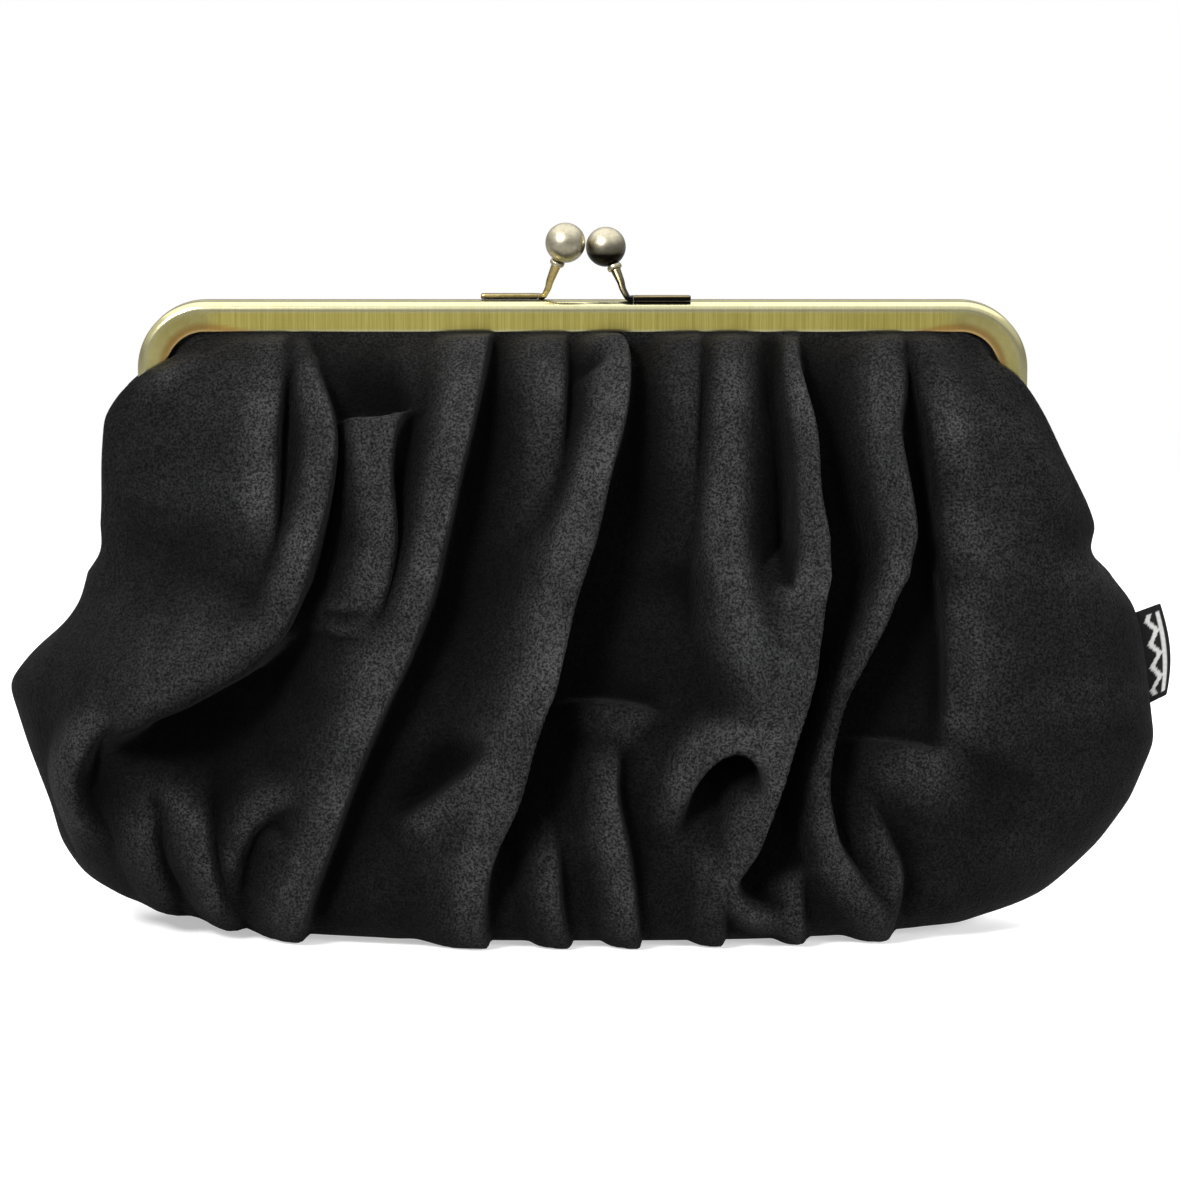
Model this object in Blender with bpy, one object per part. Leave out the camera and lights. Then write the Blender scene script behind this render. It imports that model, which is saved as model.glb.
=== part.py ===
"""Clutch purse with a brass kiss-lock frame and a soft pleated body.

Metres, +Z up. The origin is on the underside, below the middle of the frame. -Y is the front.
Two U-shaped channel frames turn about one hinge line, on two rivets. Each carries a latch foot, a
sprung post, a collar and a ball, and grips the edges of the cloth with a paper cord. The body is
three layers of cloth, front and back: outer velvet, interlining and lining. Each layer is cut at the
split line, just under the hinges, into a lower piece that stands still and a top piece that turns
with its frame.
"""

import math

import bmesh
import bpy
from mathutils import Matrix, Vector

MM = 0.001

# Frame: a channel bent into a U, open towards the inside of the U.
FRAME_HALF_WIDTH = 102.5 * MM
RAIL_TOP = 147.0 * MM
CORNER_RADIUS = 15.6 * MM
CHANNEL_HEIGHT = 6.9 * MM
CHANNEL_FRONT = 4.6 * MM
CHANNEL_BACK = 0.2 * MM
CHANNEL_WALL = 0.7 * MM
SHOULDER_RADIUS = 2.0 * MM
BACK_CHAMFER = 0.4 * MM
CORNER_STEPS = 8
RAIL_BOTTOM = RAIL_TOP - CHANNEL_HEIGHT

# Hinge: two ears on each frame, side by side, with a rivet through them.
HINGE_Z = 90.0 * MM
CHANNEL_END = HINGE_Z + 4.5 * MM
EAR_RADIUS = 3.2 * MM
EAR_THICKNESS = 1.0 * MM
EAR_GAP = 0.3 * MM
EAR_NECK = 4.5 * MM
EAR_SHOULDER = 1.5 * MM
NECK_NEAR = CHANNEL_BACK + 0.5 * MM
NECK_FAR = CHANNEL_FRONT - 0.6 * MM
JOGGLE_BASE = CHANNEL_END + 0.6 * MM
JOGGLE_END = FRAME_HALF_WIDTH - 0.3 * MM
RIVET_RADIUS = 1.2 * MM
RIVET_CLEARANCE = 0.1 * MM
RIVET_HEAD_RADIUS = 2.3 * MM
RIVET_HEAD_HEIGHT = 1.0 * MM
RIVET_EDGE = 0.3 * MM
HOLE_REACH = 6.0 * MM
ROUND_STEPS = 24

# Latch: the front frame's post leans back and the back frame's leans forward, so the balls cross.
BALL_RADIUS = 4.6 * MM
BALL_SPACING = 9.3 * MM
BALL_MIDDLE_X = 0.7 * MM
BALL_LEAN = 1.6 * MM
FRONT_BALL_Z = RAIL_TOP + 12.2 * MM
BACK_BALL_Z = RAIL_TOP + 13.4 * MM
FOOT_LENGTH = 13.2 * MM
FOOT_WIDTH = 3.8 * MM
FOOT_THICKNESS = 1.1 * MM
FOOT_INNER_END = 6.3 * MM
RAIL_MIDDLE_Y = (CHANNEL_FRONT + CHANNEL_BACK) / 2
POST_BEND = 2.6 * MM
POST_TOP_SIZE = 2.3 * MM
COLLAR_RADIUS = 1.7 * MM
COLLAR_HEIGHT = 1.5 * MM
REST_GAP = 0.2 * MM
FOOT_CHAMFER = 0.2 * MM
POST_CHAMFER = 0.25 * MM
COLLAR_BEVEL = 0.4 * MM
BALL_FLAT = 0.1 * MM
BALL_STEPS = 11

# Cloth layers, as distances in from the outside of the bag.
OUTER = (0.0, 1.0 * MM)
INTERLINING = (1.15 * MM, 2.15 * MM)
LINING = (2.3 * MM, 2.8 * MM)
SEAM_GAP = 0.15 * MM
LAYER_STEPS = 18
UNDERSIDE_HEIGHT = 12.0 * MM
SIDE_ROUNDNESS = 2.6
CORD_RADIUS = 0.8 * MM
CORD_DEPTH = 5.0 * MM
CORD_END = CHANNEL_END + EAR_NECK + 1.0 * MM

# The lower body's sections: height, half depth, left edge, right edge, in millimetres.
LOWER_SECTIONS = (
    (0.0, 4.0, -54.0, 58.0),
    (0.0, 13.0, -61.0, 66.0),
    (3.5, 22.5, -75.0, 79.0),
    (12.0, 28.5, -101.5, 105.0),
    (28.0, 32.0, -119.0, 123.5),
    (44.0, 33.0, -126.0, 128.5),
    (58.0, 32.5, -131.0, 129.5),
    (72.0, 30.5, -122.0, 127.5),
    (86.0, 27.5, -113.5, 119.0),
)
# The front panel reaches under the bag and a little past its middle, so the origin is on cloth.
UNDERLAP = (0.0, 4.0, -50.0, 52.0)
# The top's sections: height, half depth, left edge, right edge and the depth of those edges.
TOP_SECTIONS = (
    (86.3, 27.5, -113.5, 119.0, 6.2),
    (98.0, 24.5, -111.0, 117.5, 6.2),
    (110.0, 20.5, -110.0, 112.0, 6.2),
    (121.0, 16.0, -109.0, 107.0, 6.2),
    (131.0, 10.8, -101.5, 101.0, 6.2),
    (136.0, 7.2, -92.5, 91.5, 6.0),
    (138.6, 4.8, -88.5, 88.0, 4.8),
    (139.8, 3.8, -86.5, 86.5, 3.8),
    (143.6, 3.8, -85.5, 85.5, 3.8),
)
# The inner layers' tops lie inside the frame's arms, and the interlining stops below the rail.
INNER_TOP_EDGE = 93.5
INNER_TOP_EDGE_DEPTH = 4.0
INTERLINING_TOP_ROWS = 7

# Side label: a folded tape that stands out of the right-hand side seam.
LABEL_HEIGHTS = (53.5 * MM, 60.0 * MM, 66.5 * MM, 73.0 * MM, 78.0 * MM)
LABEL_OUTER = (133.8 * MM, 135.6 * MM, 136.2 * MM, 135.0 * MM, 133.0 * MM)
LABEL_GAP = 0.6 * MM
LABEL_THICKNESS = 0.9 * MM


def clear_scene():
    for obj in list(bpy.data.objects):
        bpy.data.objects.remove(obj)


def make_material(name, colour, roughness, metallic=0.0):
    material = bpy.data.materials.new(name)
    material.use_nodes = True
    shader = material.node_tree.nodes["Principled BSDF"]
    shader.inputs["Base Color"].default_value = (*colour, 1.0)
    shader.inputs["Roughness"].default_value = roughness
    shader.inputs["Metallic"].default_value = metallic
    material.diffuse_color = (*colour, 1.0)
    return material


def add_object(name, mesh, material, smooth_angle=35.0):
    mesh.shade_smooth()
    mesh.set_sharp_from_angle(angle=math.radians(smooth_angle))
    if material:
        mesh.materials.append(material)
    obj = bpy.data.objects.new(name, mesh)
    bpy.context.scene.collection.objects.link(obj)
    return obj


def add_pivot(name, place, moving):
    """An empty on a joint's axis that carries what turns there."""
    pivot = bpy.data.objects.new(name, None)
    bpy.context.scene.collection.objects.link(pivot)
    pivot.location = place
    for obj in moving:
        obj.parent = pivot
        obj.matrix_parent_inverse = Matrix.Translation(-Vector(place))
    return pivot


def mesh_from(name, vertices, faces):
    """A mesh whose faces are turned to point out of the closed shape."""
    mesh = bpy.data.meshes.new(name)
    mesh.from_pydata([tuple(v) for v in vertices], [], faces)
    shape = bmesh.new()
    shape.from_mesh(mesh)
    bmesh.ops.recalc_face_normals(shape, faces=shape.faces)
    shape.to_mesh(mesh)
    shape.free()
    return mesh


def loft(name, rings):
    """A closed solid through rings of equal length, with a flat cap at each end."""
    count = len(rings[0])
    vertices = [point for ring in rings for point in ring]
    faces = [tuple(range(count)), tuple(range((len(rings) - 1) * count, len(rings) * count))]
    for ring in range(len(rings) - 1):
        for i in range(count):
            j = (i + 1) % count
            a = ring * count
            faces.append((a + i, a + j, a + count + j, a + count + i))
    return mesh_from(name, vertices, faces)


def turned(name, profile, origin, axis):
    """A solid of revolution. The profile is (radius, distance along the axis) from end to end."""
    axis = Vector(axis).normalized()
    across = axis.orthogonal().normalized()
    other = axis.cross(across)
    rings = []
    for radius, along in profile:
        ring = []
        for i in range(ROUND_STEPS):
            turn = 2 * math.pi * i / ROUND_STEPS
            spoke = across * math.cos(turn) + other * math.sin(turn)
            ring.append(Vector(origin) + axis * along + spoke * radius)
        rings.append(ring)
    return loft(name, rings)


def arc(centre, radius, start, end, steps):
    """Points (a, b) on an arc, with angles in degrees, both ends included."""
    points = []
    for i in range(steps + 1):
        turn = math.radians(start + (end - start) * i / steps)
        points.append((centre[0] + radius * math.cos(turn), centre[1] + radius * math.sin(turn)))
    return points


def frame_path(end_z):
    """(point on the U's inner edge, outward direction) pairs, from the left arm's end to the right's."""
    inner_radius = CORNER_RADIUS - CHANNEL_HEIGHT
    corner_x = FRAME_HALF_WIDTH - CORNER_RADIUS
    corner_z = RAIL_TOP - CORNER_RADIUS
    inner_x = FRAME_HALF_WIDTH - CHANNEL_HEIGHT
    path = [(Vector((-inner_x, 0, end_z)), Vector((-1, 0, 0)))]
    for side, start, end in ((-1, 180, 90), (1, 90, 0)):
        for a, b in arc((0, 0), 1, start, end, CORNER_STEPS):
            outward = Vector((a, 0, b))
            path.append((Vector((side * corner_x, 0, corner_z)) + outward * inner_radius, outward))
    path.append((Vector((inner_x, 0, end_z)), Vector((1, 0, 0))))
    return path


def channel_profile():
    """The channel's section as (depth from the closing plane, height from its open edge)."""
    front, back, top, wall = CHANNEL_FRONT, CHANNEL_BACK, CHANNEL_HEIGHT, CHANNEL_WALL
    shoulder = arc((front - SHOULDER_RADIUS, top - SHOULDER_RADIUS), SHOULDER_RADIUS, 0, 90, 4)
    inner_radius = SHOULDER_RADIUS - wall
    inner = arc((front - SHOULDER_RADIUS, top - SHOULDER_RADIUS), inner_radius, 90, 0, 2)
    chamfer = [(back + BACK_CHAMFER, top), (back, top - BACK_CHAMFER)]
    outside = [(front, 0), *shoulder, *chamfer, (back, 0)]
    inside = [(back + wall, 0), (back + wall, top - wall), *inner, (front - wall, 0)]
    return outside + inside


def swept_along_frame(name, section, facing, end_z):
    """A solid of one section along the U. facing is -1 for the front frame and 1 for the back."""
    rings = []
    for inner, outward in frame_path(end_z):
        at = [inner + outward * height + Vector((0, facing * depth, 0)) for depth, height in section]
        rings.append(at)
    return loft(name, rings)


def plate(name, outline, x_low, x_high):
    """A flat plate across X. The outline is (y, z) points."""
    return loft(name, [[Vector((x, y, z)) for y, z in outline] for x in (x_low, x_high)])


def helper(name, mesh):
    obj = add_object(name, mesh, None)
    obj.hide_render = True
    obj.display_type = "WIRE"
    return obj


def add_boolean(obj, other, operation):
    modifier = obj.modifiers.new(f"{operation.lower()}_{other.name}", "BOOLEAN")
    modifier.operation = operation
    modifier.object = other


def ear_outline(facing):
    """A round ear about the hinge line, with a neck up into the channel on its own frame's side."""
    near, far, top = facing * NECK_NEAR, facing * NECK_FAR, CHANNEL_END + EAR_NECK
    ear = [(facing * a, HINGE_Z + b) for a, b in arc((0, 0), EAR_RADIUS, 30, -205, 16)]
    neck = [(near, HINGE_Z + EAR_RADIUS), (near, top), (far, top), (far, CHANNEL_END - EAR_SHOULDER)]
    return ear + neck


def joggle_outline(facing):
    """The step inside the channel that carries the inner ear of the back frame."""
    near, far, top = facing * NECK_NEAR, facing * NECK_FAR, CHANNEL_END + EAR_NECK
    return [(near, JOGGLE_BASE), (near, top), (far, top), (far, JOGGLE_BASE)]


def add_frame(name, facing, material):
    """One half of the kiss-lock frame: the bent channel, its two ears and their rivet holes."""
    obj = add_object(name, swept_along_frame(name, channel_profile(), facing, CHANNEL_END), material)
    outer_face = FRAME_HALF_WIDTH
    if facing > 0:
        outer_face -= EAR_THICKNESS + EAR_GAP
    for side, word in ((-1, "left"), (1, "right")):
        low, high = sorted((side * outer_face, side * (outer_face - EAR_THICKNESS)))
        ear = helper(f"{name}_{word}_ear", plate("ear", ear_outline(facing), low, high))
        add_boolean(obj, ear, "UNION")
        if facing > 0:
            low, high = sorted((side * (outer_face - EAR_THICKNESS), side * JOGGLE_END))
            joggle = helper(f"{name}_{word}_joggle", plate("joggle", joggle_outline(facing), low, high))
            add_boolean(obj, joggle, "UNION")
        hole_radius = RIVET_RADIUS + RIVET_CLEARANCE
        ends = [(hole_radius, -HOLE_REACH), (hole_radius, HOLE_REACH)]
        hole = turned("hole", ends, (side * FRAME_HALF_WIDTH, 0, HINGE_Z), (1, 0, 0))
        add_boolean(obj, helper(f"{name}_{word}_hole", hole), "DIFFERENCE")
    return obj


def add_rivet(name, side, material):
    """A rivet with a domed outer head and a flat inner one."""
    inner_face = FRAME_HALF_WIDTH - 2 * EAR_THICKNESS - 2 * EAR_GAP
    shank_end = FRAME_HALF_WIDTH + EAR_GAP
    flat_radius = RIVET_HEAD_RADIUS - RIVET_EDGE / 3
    flat_end = inner_face - RIVET_HEAD_HEIGHT
    flat_head = [(flat_radius - RIVET_EDGE, flat_end), (flat_radius, flat_end + RIVET_EDGE),
                 (flat_radius, inner_face)]
    shank = [(RIVET_RADIUS, inner_face), (RIVET_RADIUS, shank_end)]
    dome = [(RIVET_HEAD_RADIUS * a, shank_end + RIVET_HEAD_HEIGHT * b) for a, b in arc((0, 0), 1, 0, 80, 4)]
    mesh = turned(name, flat_head + shank + dome, (0, 0, HINGE_Z), (side, 0, 0))
    return add_object(name, mesh, material)


def rounded_section(width, thickness, chamfer):
    """An eight-sided section with its corners cut, as (across, through) points."""
    w, t = width / 2, thickness / 2
    return [(w, -t + chamfer), (w, t - chamfer), (w - chamfer, t), (-w + chamfer, t),
            (-w, t - chamfer), (-w, -t + chamfer), (-w + chamfer, -t), (w - chamfer, -t)]


def latch_points(facing):
    """(the foot's direction along X, the post's root on the foot, the ball's centre) of one latch."""
    out = -facing
    ball_x = BALL_MIDDLE_X + out * BALL_SPACING / 2
    ball_z = FRONT_BALL_Z if facing < 0 else BACK_BALL_Z
    ball = Vector((ball_x, -facing * BALL_LEAN, ball_z))
    root_z = RAIL_TOP + REST_GAP + FOOT_THICKNESS / 2
    root = Vector((ball_x + out * FOOT_INNER_END, facing * RAIL_MIDDLE_Y, root_z))
    return Vector((out, 0, 0)), root, ball


def add_foot(name, along, root, material):
    """The flat strip that is welded on the rail."""
    section = rounded_section(FOOT_WIDTH, FOOT_THICKNESS, FOOT_CHAMFER)
    rings = []
    for distance in (REST_GAP, FOOT_LENGTH):
        rings.append([root + along * distance + Vector((0, a, b)) for a, b in section])
    return add_object(name, loft(name, rings), material)


def add_post(name, along, root, bend_end, up, top, material):
    """The strip's bent end, which narrows and thickens from the foot's section to the collar's."""
    middle = root.lerp(bend_end, 0.6) - along * POST_BEND * 0.28
    # Each station: a point, the direction there, and the share of the way to the top's section.
    stations = ((root, -along, 0.0), (root - along * POST_BEND * 0.45, up * 0.45 - along, 0.1),
                (middle, up - along * 0.55, 0.3), (bend_end, up, 0.5), (top, up, 1.0))
    rings = []
    for centre, direction, share in stations:
        width = FOOT_WIDTH + (POST_TOP_SIZE - FOOT_WIDTH) * share
        thickness = FOOT_THICKNESS + (POST_TOP_SIZE - FOOT_THICKNESS) * share
        through = direction.cross(Vector((0, 1, 0))).normalized()
        across = through.cross(direction).normalized()
        section = rounded_section(width, thickness, POST_CHAMFER)
        rings.append([centre + across * a + through * b for a, b in section])
    return add_object(name, loft(name, rings), material)


def add_collar(name, base, up, material):
    """The bead between the post and the ball."""
    low, high = COLLAR_BEVEL / 8, COLLAR_HEIGHT - COLLAR_BEVEL / 2
    end_radius = COLLAR_RADIUS - COLLAR_BEVEL
    bead = [(end_radius, low), (COLLAR_RADIUS, COLLAR_BEVEL), (COLLAR_RADIUS, high - COLLAR_BEVEL * 0.7),
            (end_radius, high)]
    return add_object(name, turned(name, bead, base, up), material)


def add_ball(name, centre, up, material):
    """The ball, with a small flat at each pole, across the post's line."""
    flat = math.degrees(math.acos(1 - BALL_FLAT / BALL_RADIUS))
    half = arc((0, 0), BALL_RADIUS, flat - 90, 90 - flat, BALL_STEPS)
    return add_object(name, turned(name, half, centre, up), material)


def add_latch(word, facing, materials):
    """One latch: its foot rides on the frame half, and the rest hangs on a pivot at the post's root."""
    along, root, ball = latch_points(facing)
    foot = add_foot(f"{word}_latch_foot", along, root, materials["brass"])
    bend_end = root + (ball - root).normalized() * POST_BEND * 1.6 - along * POST_BEND * 0.35
    up = (ball - bend_end).normalized()
    collar_base = ball - up * (BALL_RADIUS + COLLAR_HEIGHT - COLLAR_BEVEL / 2)
    moving = [add_post(f"{word}_latch_post", along, root, bend_end, up, collar_base, materials["brass"]),
              add_collar(f"{word}_latch_collar", collar_base, up, materials["brass"]),
              add_ball(f"{word}_latch_ball", ball, up, materials["ball"])]
    pivot = add_pivot(f"{word}_post_pivot", root, moving)
    return [foot, pivot]


def lower_rows(facing):
    """The sections of one side's lower wall, from the seam under the bag up to the split line."""
    height, depth, left, right = UNDERLAP
    if facing < 0:
        return [(height, -depth, left, right), *LOWER_SECTIONS]
    return [UNDERLAP, *LOWER_SECTIONS[1:]]


def bulge(s):
    """How far out the cloth stands across the bag, 1 in the middle and 0 at either side."""
    return math.sqrt(max(0.0, 1 - abs(s) ** SIDE_ROUNDNESS))


def across_steps():
    return [math.sin(math.pi / 2 * (2 * i / LAYER_STEPS - 1)) for i in range(LAYER_STEPS + 1)]


def lower_row(section, inset, facing):
    """One row of the lower body's wall, that far in from the outside."""
    height, depth, left, right = (value * MM for value in section)
    under = max(0.0, 1 - height / UNDERSIDE_HEIGHT)
    depth -= inset * math.sqrt(1 - under**2)
    left, right = left + inset, right - inset
    row = []
    for s in across_steps():
        x = (left + right) / 2 + s * (right - left) / 2
        row.append(Vector((x, facing * (SEAM_GAP + depth * bulge(s)), height + inset * under)))
    return row


def top_row(section, inset, facing, inner):
    """One row of the top's wall. Inner layers stay between the frame's arms."""
    height, depth, left, right, edge = section
    if inner:
        left, right = max(left, -INNER_TOP_EDGE), min(right, INNER_TOP_EDGE)
        edge = min(edge, INNER_TOP_EDGE_DEPTH)
    depth, edge = depth * MM - inset, edge * MM - inset
    row = []
    for s in across_steps():
        x = (left + right) / 2 + s * (right - left) / 2
        row.append(Vector((x * MM, facing * (edge + (depth - edge) * bulge(s)), height * MM)))
    return row


def shell(name, outside, inside):
    """A closed wall between two grids of points with the same rows and columns."""
    rows, columns = len(outside), len(outside[0])
    vertices = [p for row in outside for p in row] + [p for row in inside for p in row]
    offset = rows * columns
    faces = []
    for r in range(rows - 1):
        for c in range(columns - 1):
            a = r * columns + c
            # The same diagonal on both sides keeps the wall's thickness even.
            for triangle in ((a, a + 1, a + columns + 1), (a, a + columns + 1, a + columns)):
                faces.append(triangle)
                faces.append(tuple(offset + i for i in reversed(triangle)))
    edge = [c for c in range(columns)]
    edge += [r * columns + columns - 1 for r in range(1, rows)]
    edge += [(rows - 1) * columns + c for c in range(columns - 2, -1, -1)]
    edge += [r * columns for r in range(rows - 2, 0, -1)]
    for a, b in zip(edge, edge[1:] + edge[:1]):
        faces.append((a, b, offset + b, offset + a))
    return mesh_from(name, vertices, faces)


def add_layers(word, facing, materials):
    """The three layers of one side, each in a lower and a top piece. It returns the tops."""
    tops = []
    layers = (("outer", OUTER, materials["velvet"]), ("interlining", INTERLINING, materials["fleece"]),
              ("lining", LINING, materials["lining"]))
    for layer, insets, material in layers:
        walls = [[lower_row(row, inset, facing) for row in lower_rows(facing)] for inset in insets]
        add_object(f"{layer}_{word}_lower", shell(layer, *walls), material)

        inner = layer != "outer"
        rows = TOP_SECTIONS[:INTERLINING_TOP_ROWS] if layer == "interlining" else TOP_SECTIONS
        walls = [[top_row(row, inset, facing, inner) for row in rows] for inset in insets]
        tops.append(add_object(f"{layer}_{word}_top", shell(layer, *walls), material))
    return tops


def right_edge(height):
    """The outer cloth's right-hand edge at a height, straight between the sections."""
    for low, high in zip(LOWER_SECTIONS, LOWER_SECTIONS[1:]):
        if low[0] * MM <= height <= high[0] * MM and high[0] > low[0]:
            share = (height / MM - low[0]) / (high[0] - low[0])
            return (low[3] + (high[3] - low[3]) * share) * MM
    return LOWER_SECTIONS[-1][3] * MM


def add_label(material):
    """The folded tape at the side seam, as a thin plate whose inner edge follows the seam."""
    half = LABEL_THICKNESS / 2
    rings = []
    for height, outer in zip(LABEL_HEIGHTS, LABEL_OUTER):
        inner = right_edge(height) + LABEL_GAP
        rings.append([Vector((inner, -half, height)), Vector((outer, -half, height)),
                      Vector((outer, half, height)), Vector((inner, half, height))])
    add_object("side_label", loft("label", rings), material)


def add_paper_cord(name, facing, material):
    """The twisted paper cord that wedges the cloth in the channel."""
    section = arc((RAIL_MIDDLE_Y, CORD_DEPTH), CORD_RADIUS, 0, 315, 7)
    return add_object(name, swept_along_frame(name, section, facing, CORD_END), material)


def build():
    clear_scene()
    materials = {
        "brass": make_material("brushed_brass", (0.58, 0.50, 0.24), 0.34, 1.0),
        "ball": make_material("ball_brass", (0.60, 0.56, 0.42), 0.22, 1.0),
        "velvet": make_material("black_velvet", (0.012, 0.012, 0.013), 0.85),
        "lining": make_material("black_lining", (0.02, 0.02, 0.022), 0.45),
        "fleece": make_material("interlining", (0.033, 0.033, 0.034), 0.9),
        "paper": make_material("paper_cord", (0.62, 0.48, 0.32), 0.8),
        "label": make_material("label_tape", (0.01, 0.01, 0.01), 0.6),
    }
    for word, facing in (("front", -1), ("back", 1)):
        moving = [add_frame(f"{word}_frame", facing, materials["brass"]),
                  add_paper_cord(f"{word}_paper_cord", facing, materials["paper"])]
        moving += add_latch(word, facing, materials) + add_layers(word, facing, materials)
        add_pivot(f"{word}_half_pivot", (0, 0, HINGE_Z), moving)
    for word, side in (("left", -1), ("right", 1)):
        add_rivet(f"{word}_hinge_rivet", side, materials["brass"])
    add_label(materials["label"])


build()
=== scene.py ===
"""Looks of the clutch purse: pleated velvet on a brushed brass kiss-lock frame.

Each side has an outer velvet panel, interlining and lining, made as one grid of points that runs
from the rail down the side and under the bag. The folds of the velvet are drawn as crest lines over
that grid, with painted shade in their valleys and painted highlights beside their crests. The metal
has the CAD model's sizes, with finer curves, rounded edges, tones polished by use, painted highlights
and painted dark reflections.
Sizes are in millimetres until a mesh is made. -Y is the front.
"""

import math
from collections import namedtuple

import bmesh
import bpy
import numpy as np
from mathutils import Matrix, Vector, noise


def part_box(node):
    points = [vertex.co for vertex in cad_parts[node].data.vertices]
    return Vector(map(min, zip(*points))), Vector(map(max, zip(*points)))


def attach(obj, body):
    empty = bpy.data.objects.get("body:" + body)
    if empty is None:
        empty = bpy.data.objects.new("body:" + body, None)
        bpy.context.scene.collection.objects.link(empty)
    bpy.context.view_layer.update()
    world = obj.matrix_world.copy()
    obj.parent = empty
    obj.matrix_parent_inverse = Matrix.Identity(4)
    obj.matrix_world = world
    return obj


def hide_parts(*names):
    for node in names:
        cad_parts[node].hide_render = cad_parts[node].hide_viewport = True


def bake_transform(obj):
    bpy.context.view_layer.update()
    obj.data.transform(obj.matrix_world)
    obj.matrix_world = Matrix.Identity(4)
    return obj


MM = 0.001
FRONT, BACK = -1, 1

# The body's sections from the rail down to the seam under the bag:
# height, half depth, left edge, right edge, depth of those two edges.
SECTIONS = (
    (143.6, 3.5, -86.5, 86.5, 3.4),
    (140.2, 3.6, -87.5, 87.5, 3.5),
    (139.2, 5.2, -88.2, 88.0, 4.4),
    (137.8, 7.6, -90.0, 89.5, 5.4),
    (135.0, 10.0, -94.0, 93.0, 5.8),
    (131.5, 12.4, -101.3, 99.8, 6.0),
    (127.0, 14.8, -106.6, 103.4, 6.2),
    (121.0, 17.4, -110.5, 107.0, 6.4),
    (112.0, 20.6, -111.2, 111.2, 6.4),
    (101.0, 23.2, -111.4, 116.8, 6.4),
    (95.0, 24.8, -111.8, 119.0, 5.6),
    (89.0, 26.2, -112.6, 118.4, 3.0),
    (83.0, 27.4, -115.8, 123.2, 0.0),
    (77.0, 28.4, -117.4, 128.4, 0.0),
    (71.0, 29.2, -121.8, 130.2, 0.0),
    (65.0, 29.8, -129.0, 131.4, 0.0),
    (58.0, 30.3, -134.6, 132.4, 0.0),
    (44.0, 30.8, -130.4, 134.2, 0.0),
    (30.0, 30.8, -125.4, 128.6, 0.0),
    (20.0, 30.7, -122.8, 121.6, 0.0),
    (12.0, 30.3, -117.4, 113.4, 0.0),
    (7.0, 29.3, -108.0, 107.4, 0.0),
    (3.2, 27.6, -94.5, 96.5, 0.0),
    (1.2, 25.0, -84.0, 85.0, 0.0),
    (0.8, 14.0, -68.0, 71.0, 0.0),
    (0.8, 0.0, -56.0, 59.0, 0.0),
)
SIDE_ROUNDNESS = 2.6
SECTION_SMOOTHING = 1.6

# Above the hinges the panel's edges hook round the frame's open edge into its channel. Each row:
# height, then the distance out and the depth of the end, of the turn, and of the point before the arm.
TUCKS = (
    (143.6, 87.0, 3.3, 86.8, 3.3, 86.6, 3.4),
    (140.2, 88.6, 3.1, 88.2, 3.2, 87.8, 3.4),
    (139.2, 91.8, 3.1, 89.4, 3.2, 89.0, 4.2),
    (137.8, 94.0, 3.1, 91.4, 3.2, 91.0, 4.9),
    (135.0, 96.0, 3.1, 93.6, 3.3, 93.2, 5.2),
    (131.5, 97.0, 3.1, 94.5, 3.3, 94.2, 5.3),
    (96.5, 97.0, 3.1, 94.5, 3.3, 94.2, 5.3),
)
TUCK_START = 84.0

SEAM_GROOVE = 1.0
SEAM_WIDTH = 1.6
FLOOR_GAP = 0.3
FOLD_DEPTH = 1.35
OVERHANG = 1.2
SOFT_DROP = 9.0
OUTER_SPACING = 0.85
BACK_SPACING = 1.1
INNER_SPACING = 1.7

# The frame's sizes, as in the CAD model.
FRAME_HALF_WIDTH = 102.5
RAIL_TOP = 147.0
CORNER_RADIUS = 15.6
CHANNEL_HEIGHT = 6.9
CHANNEL_END = 94.5
HINGE_Z = 90.0
CORD_PITCH = 4.2
# The nearly black colour painted on latch parts below a height, a painted dark reflection and shade.
PAINTED_DARK_REFLECTION = (0.012, 0.010, 0.008)
SHARP_ANGLE = 38.0

# The surround's brightness in reflections, by how far up the ray goes, and its plain soft light.
STUDIO_TONES = ((-0.5, 0.1), (-0.17, 0.42), (0.0, 0.3), (0.17, 0.26), (0.35, 0.6), (0.7, 0.75))
SOFT_LIGHT = 0.09

# One fold: its crest is drawn downwards as (x, height, relief, width, reach) points, and the cloth
# drops away on the right of that line. width is how far the lit face reaches to the left, and reach
# how far the dark valley goes on the right. steep is the drop's width, and dip the valley's depth as
# a share of the relief.
Fold = namedtuple("Fold", "steep dip crest")

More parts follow.
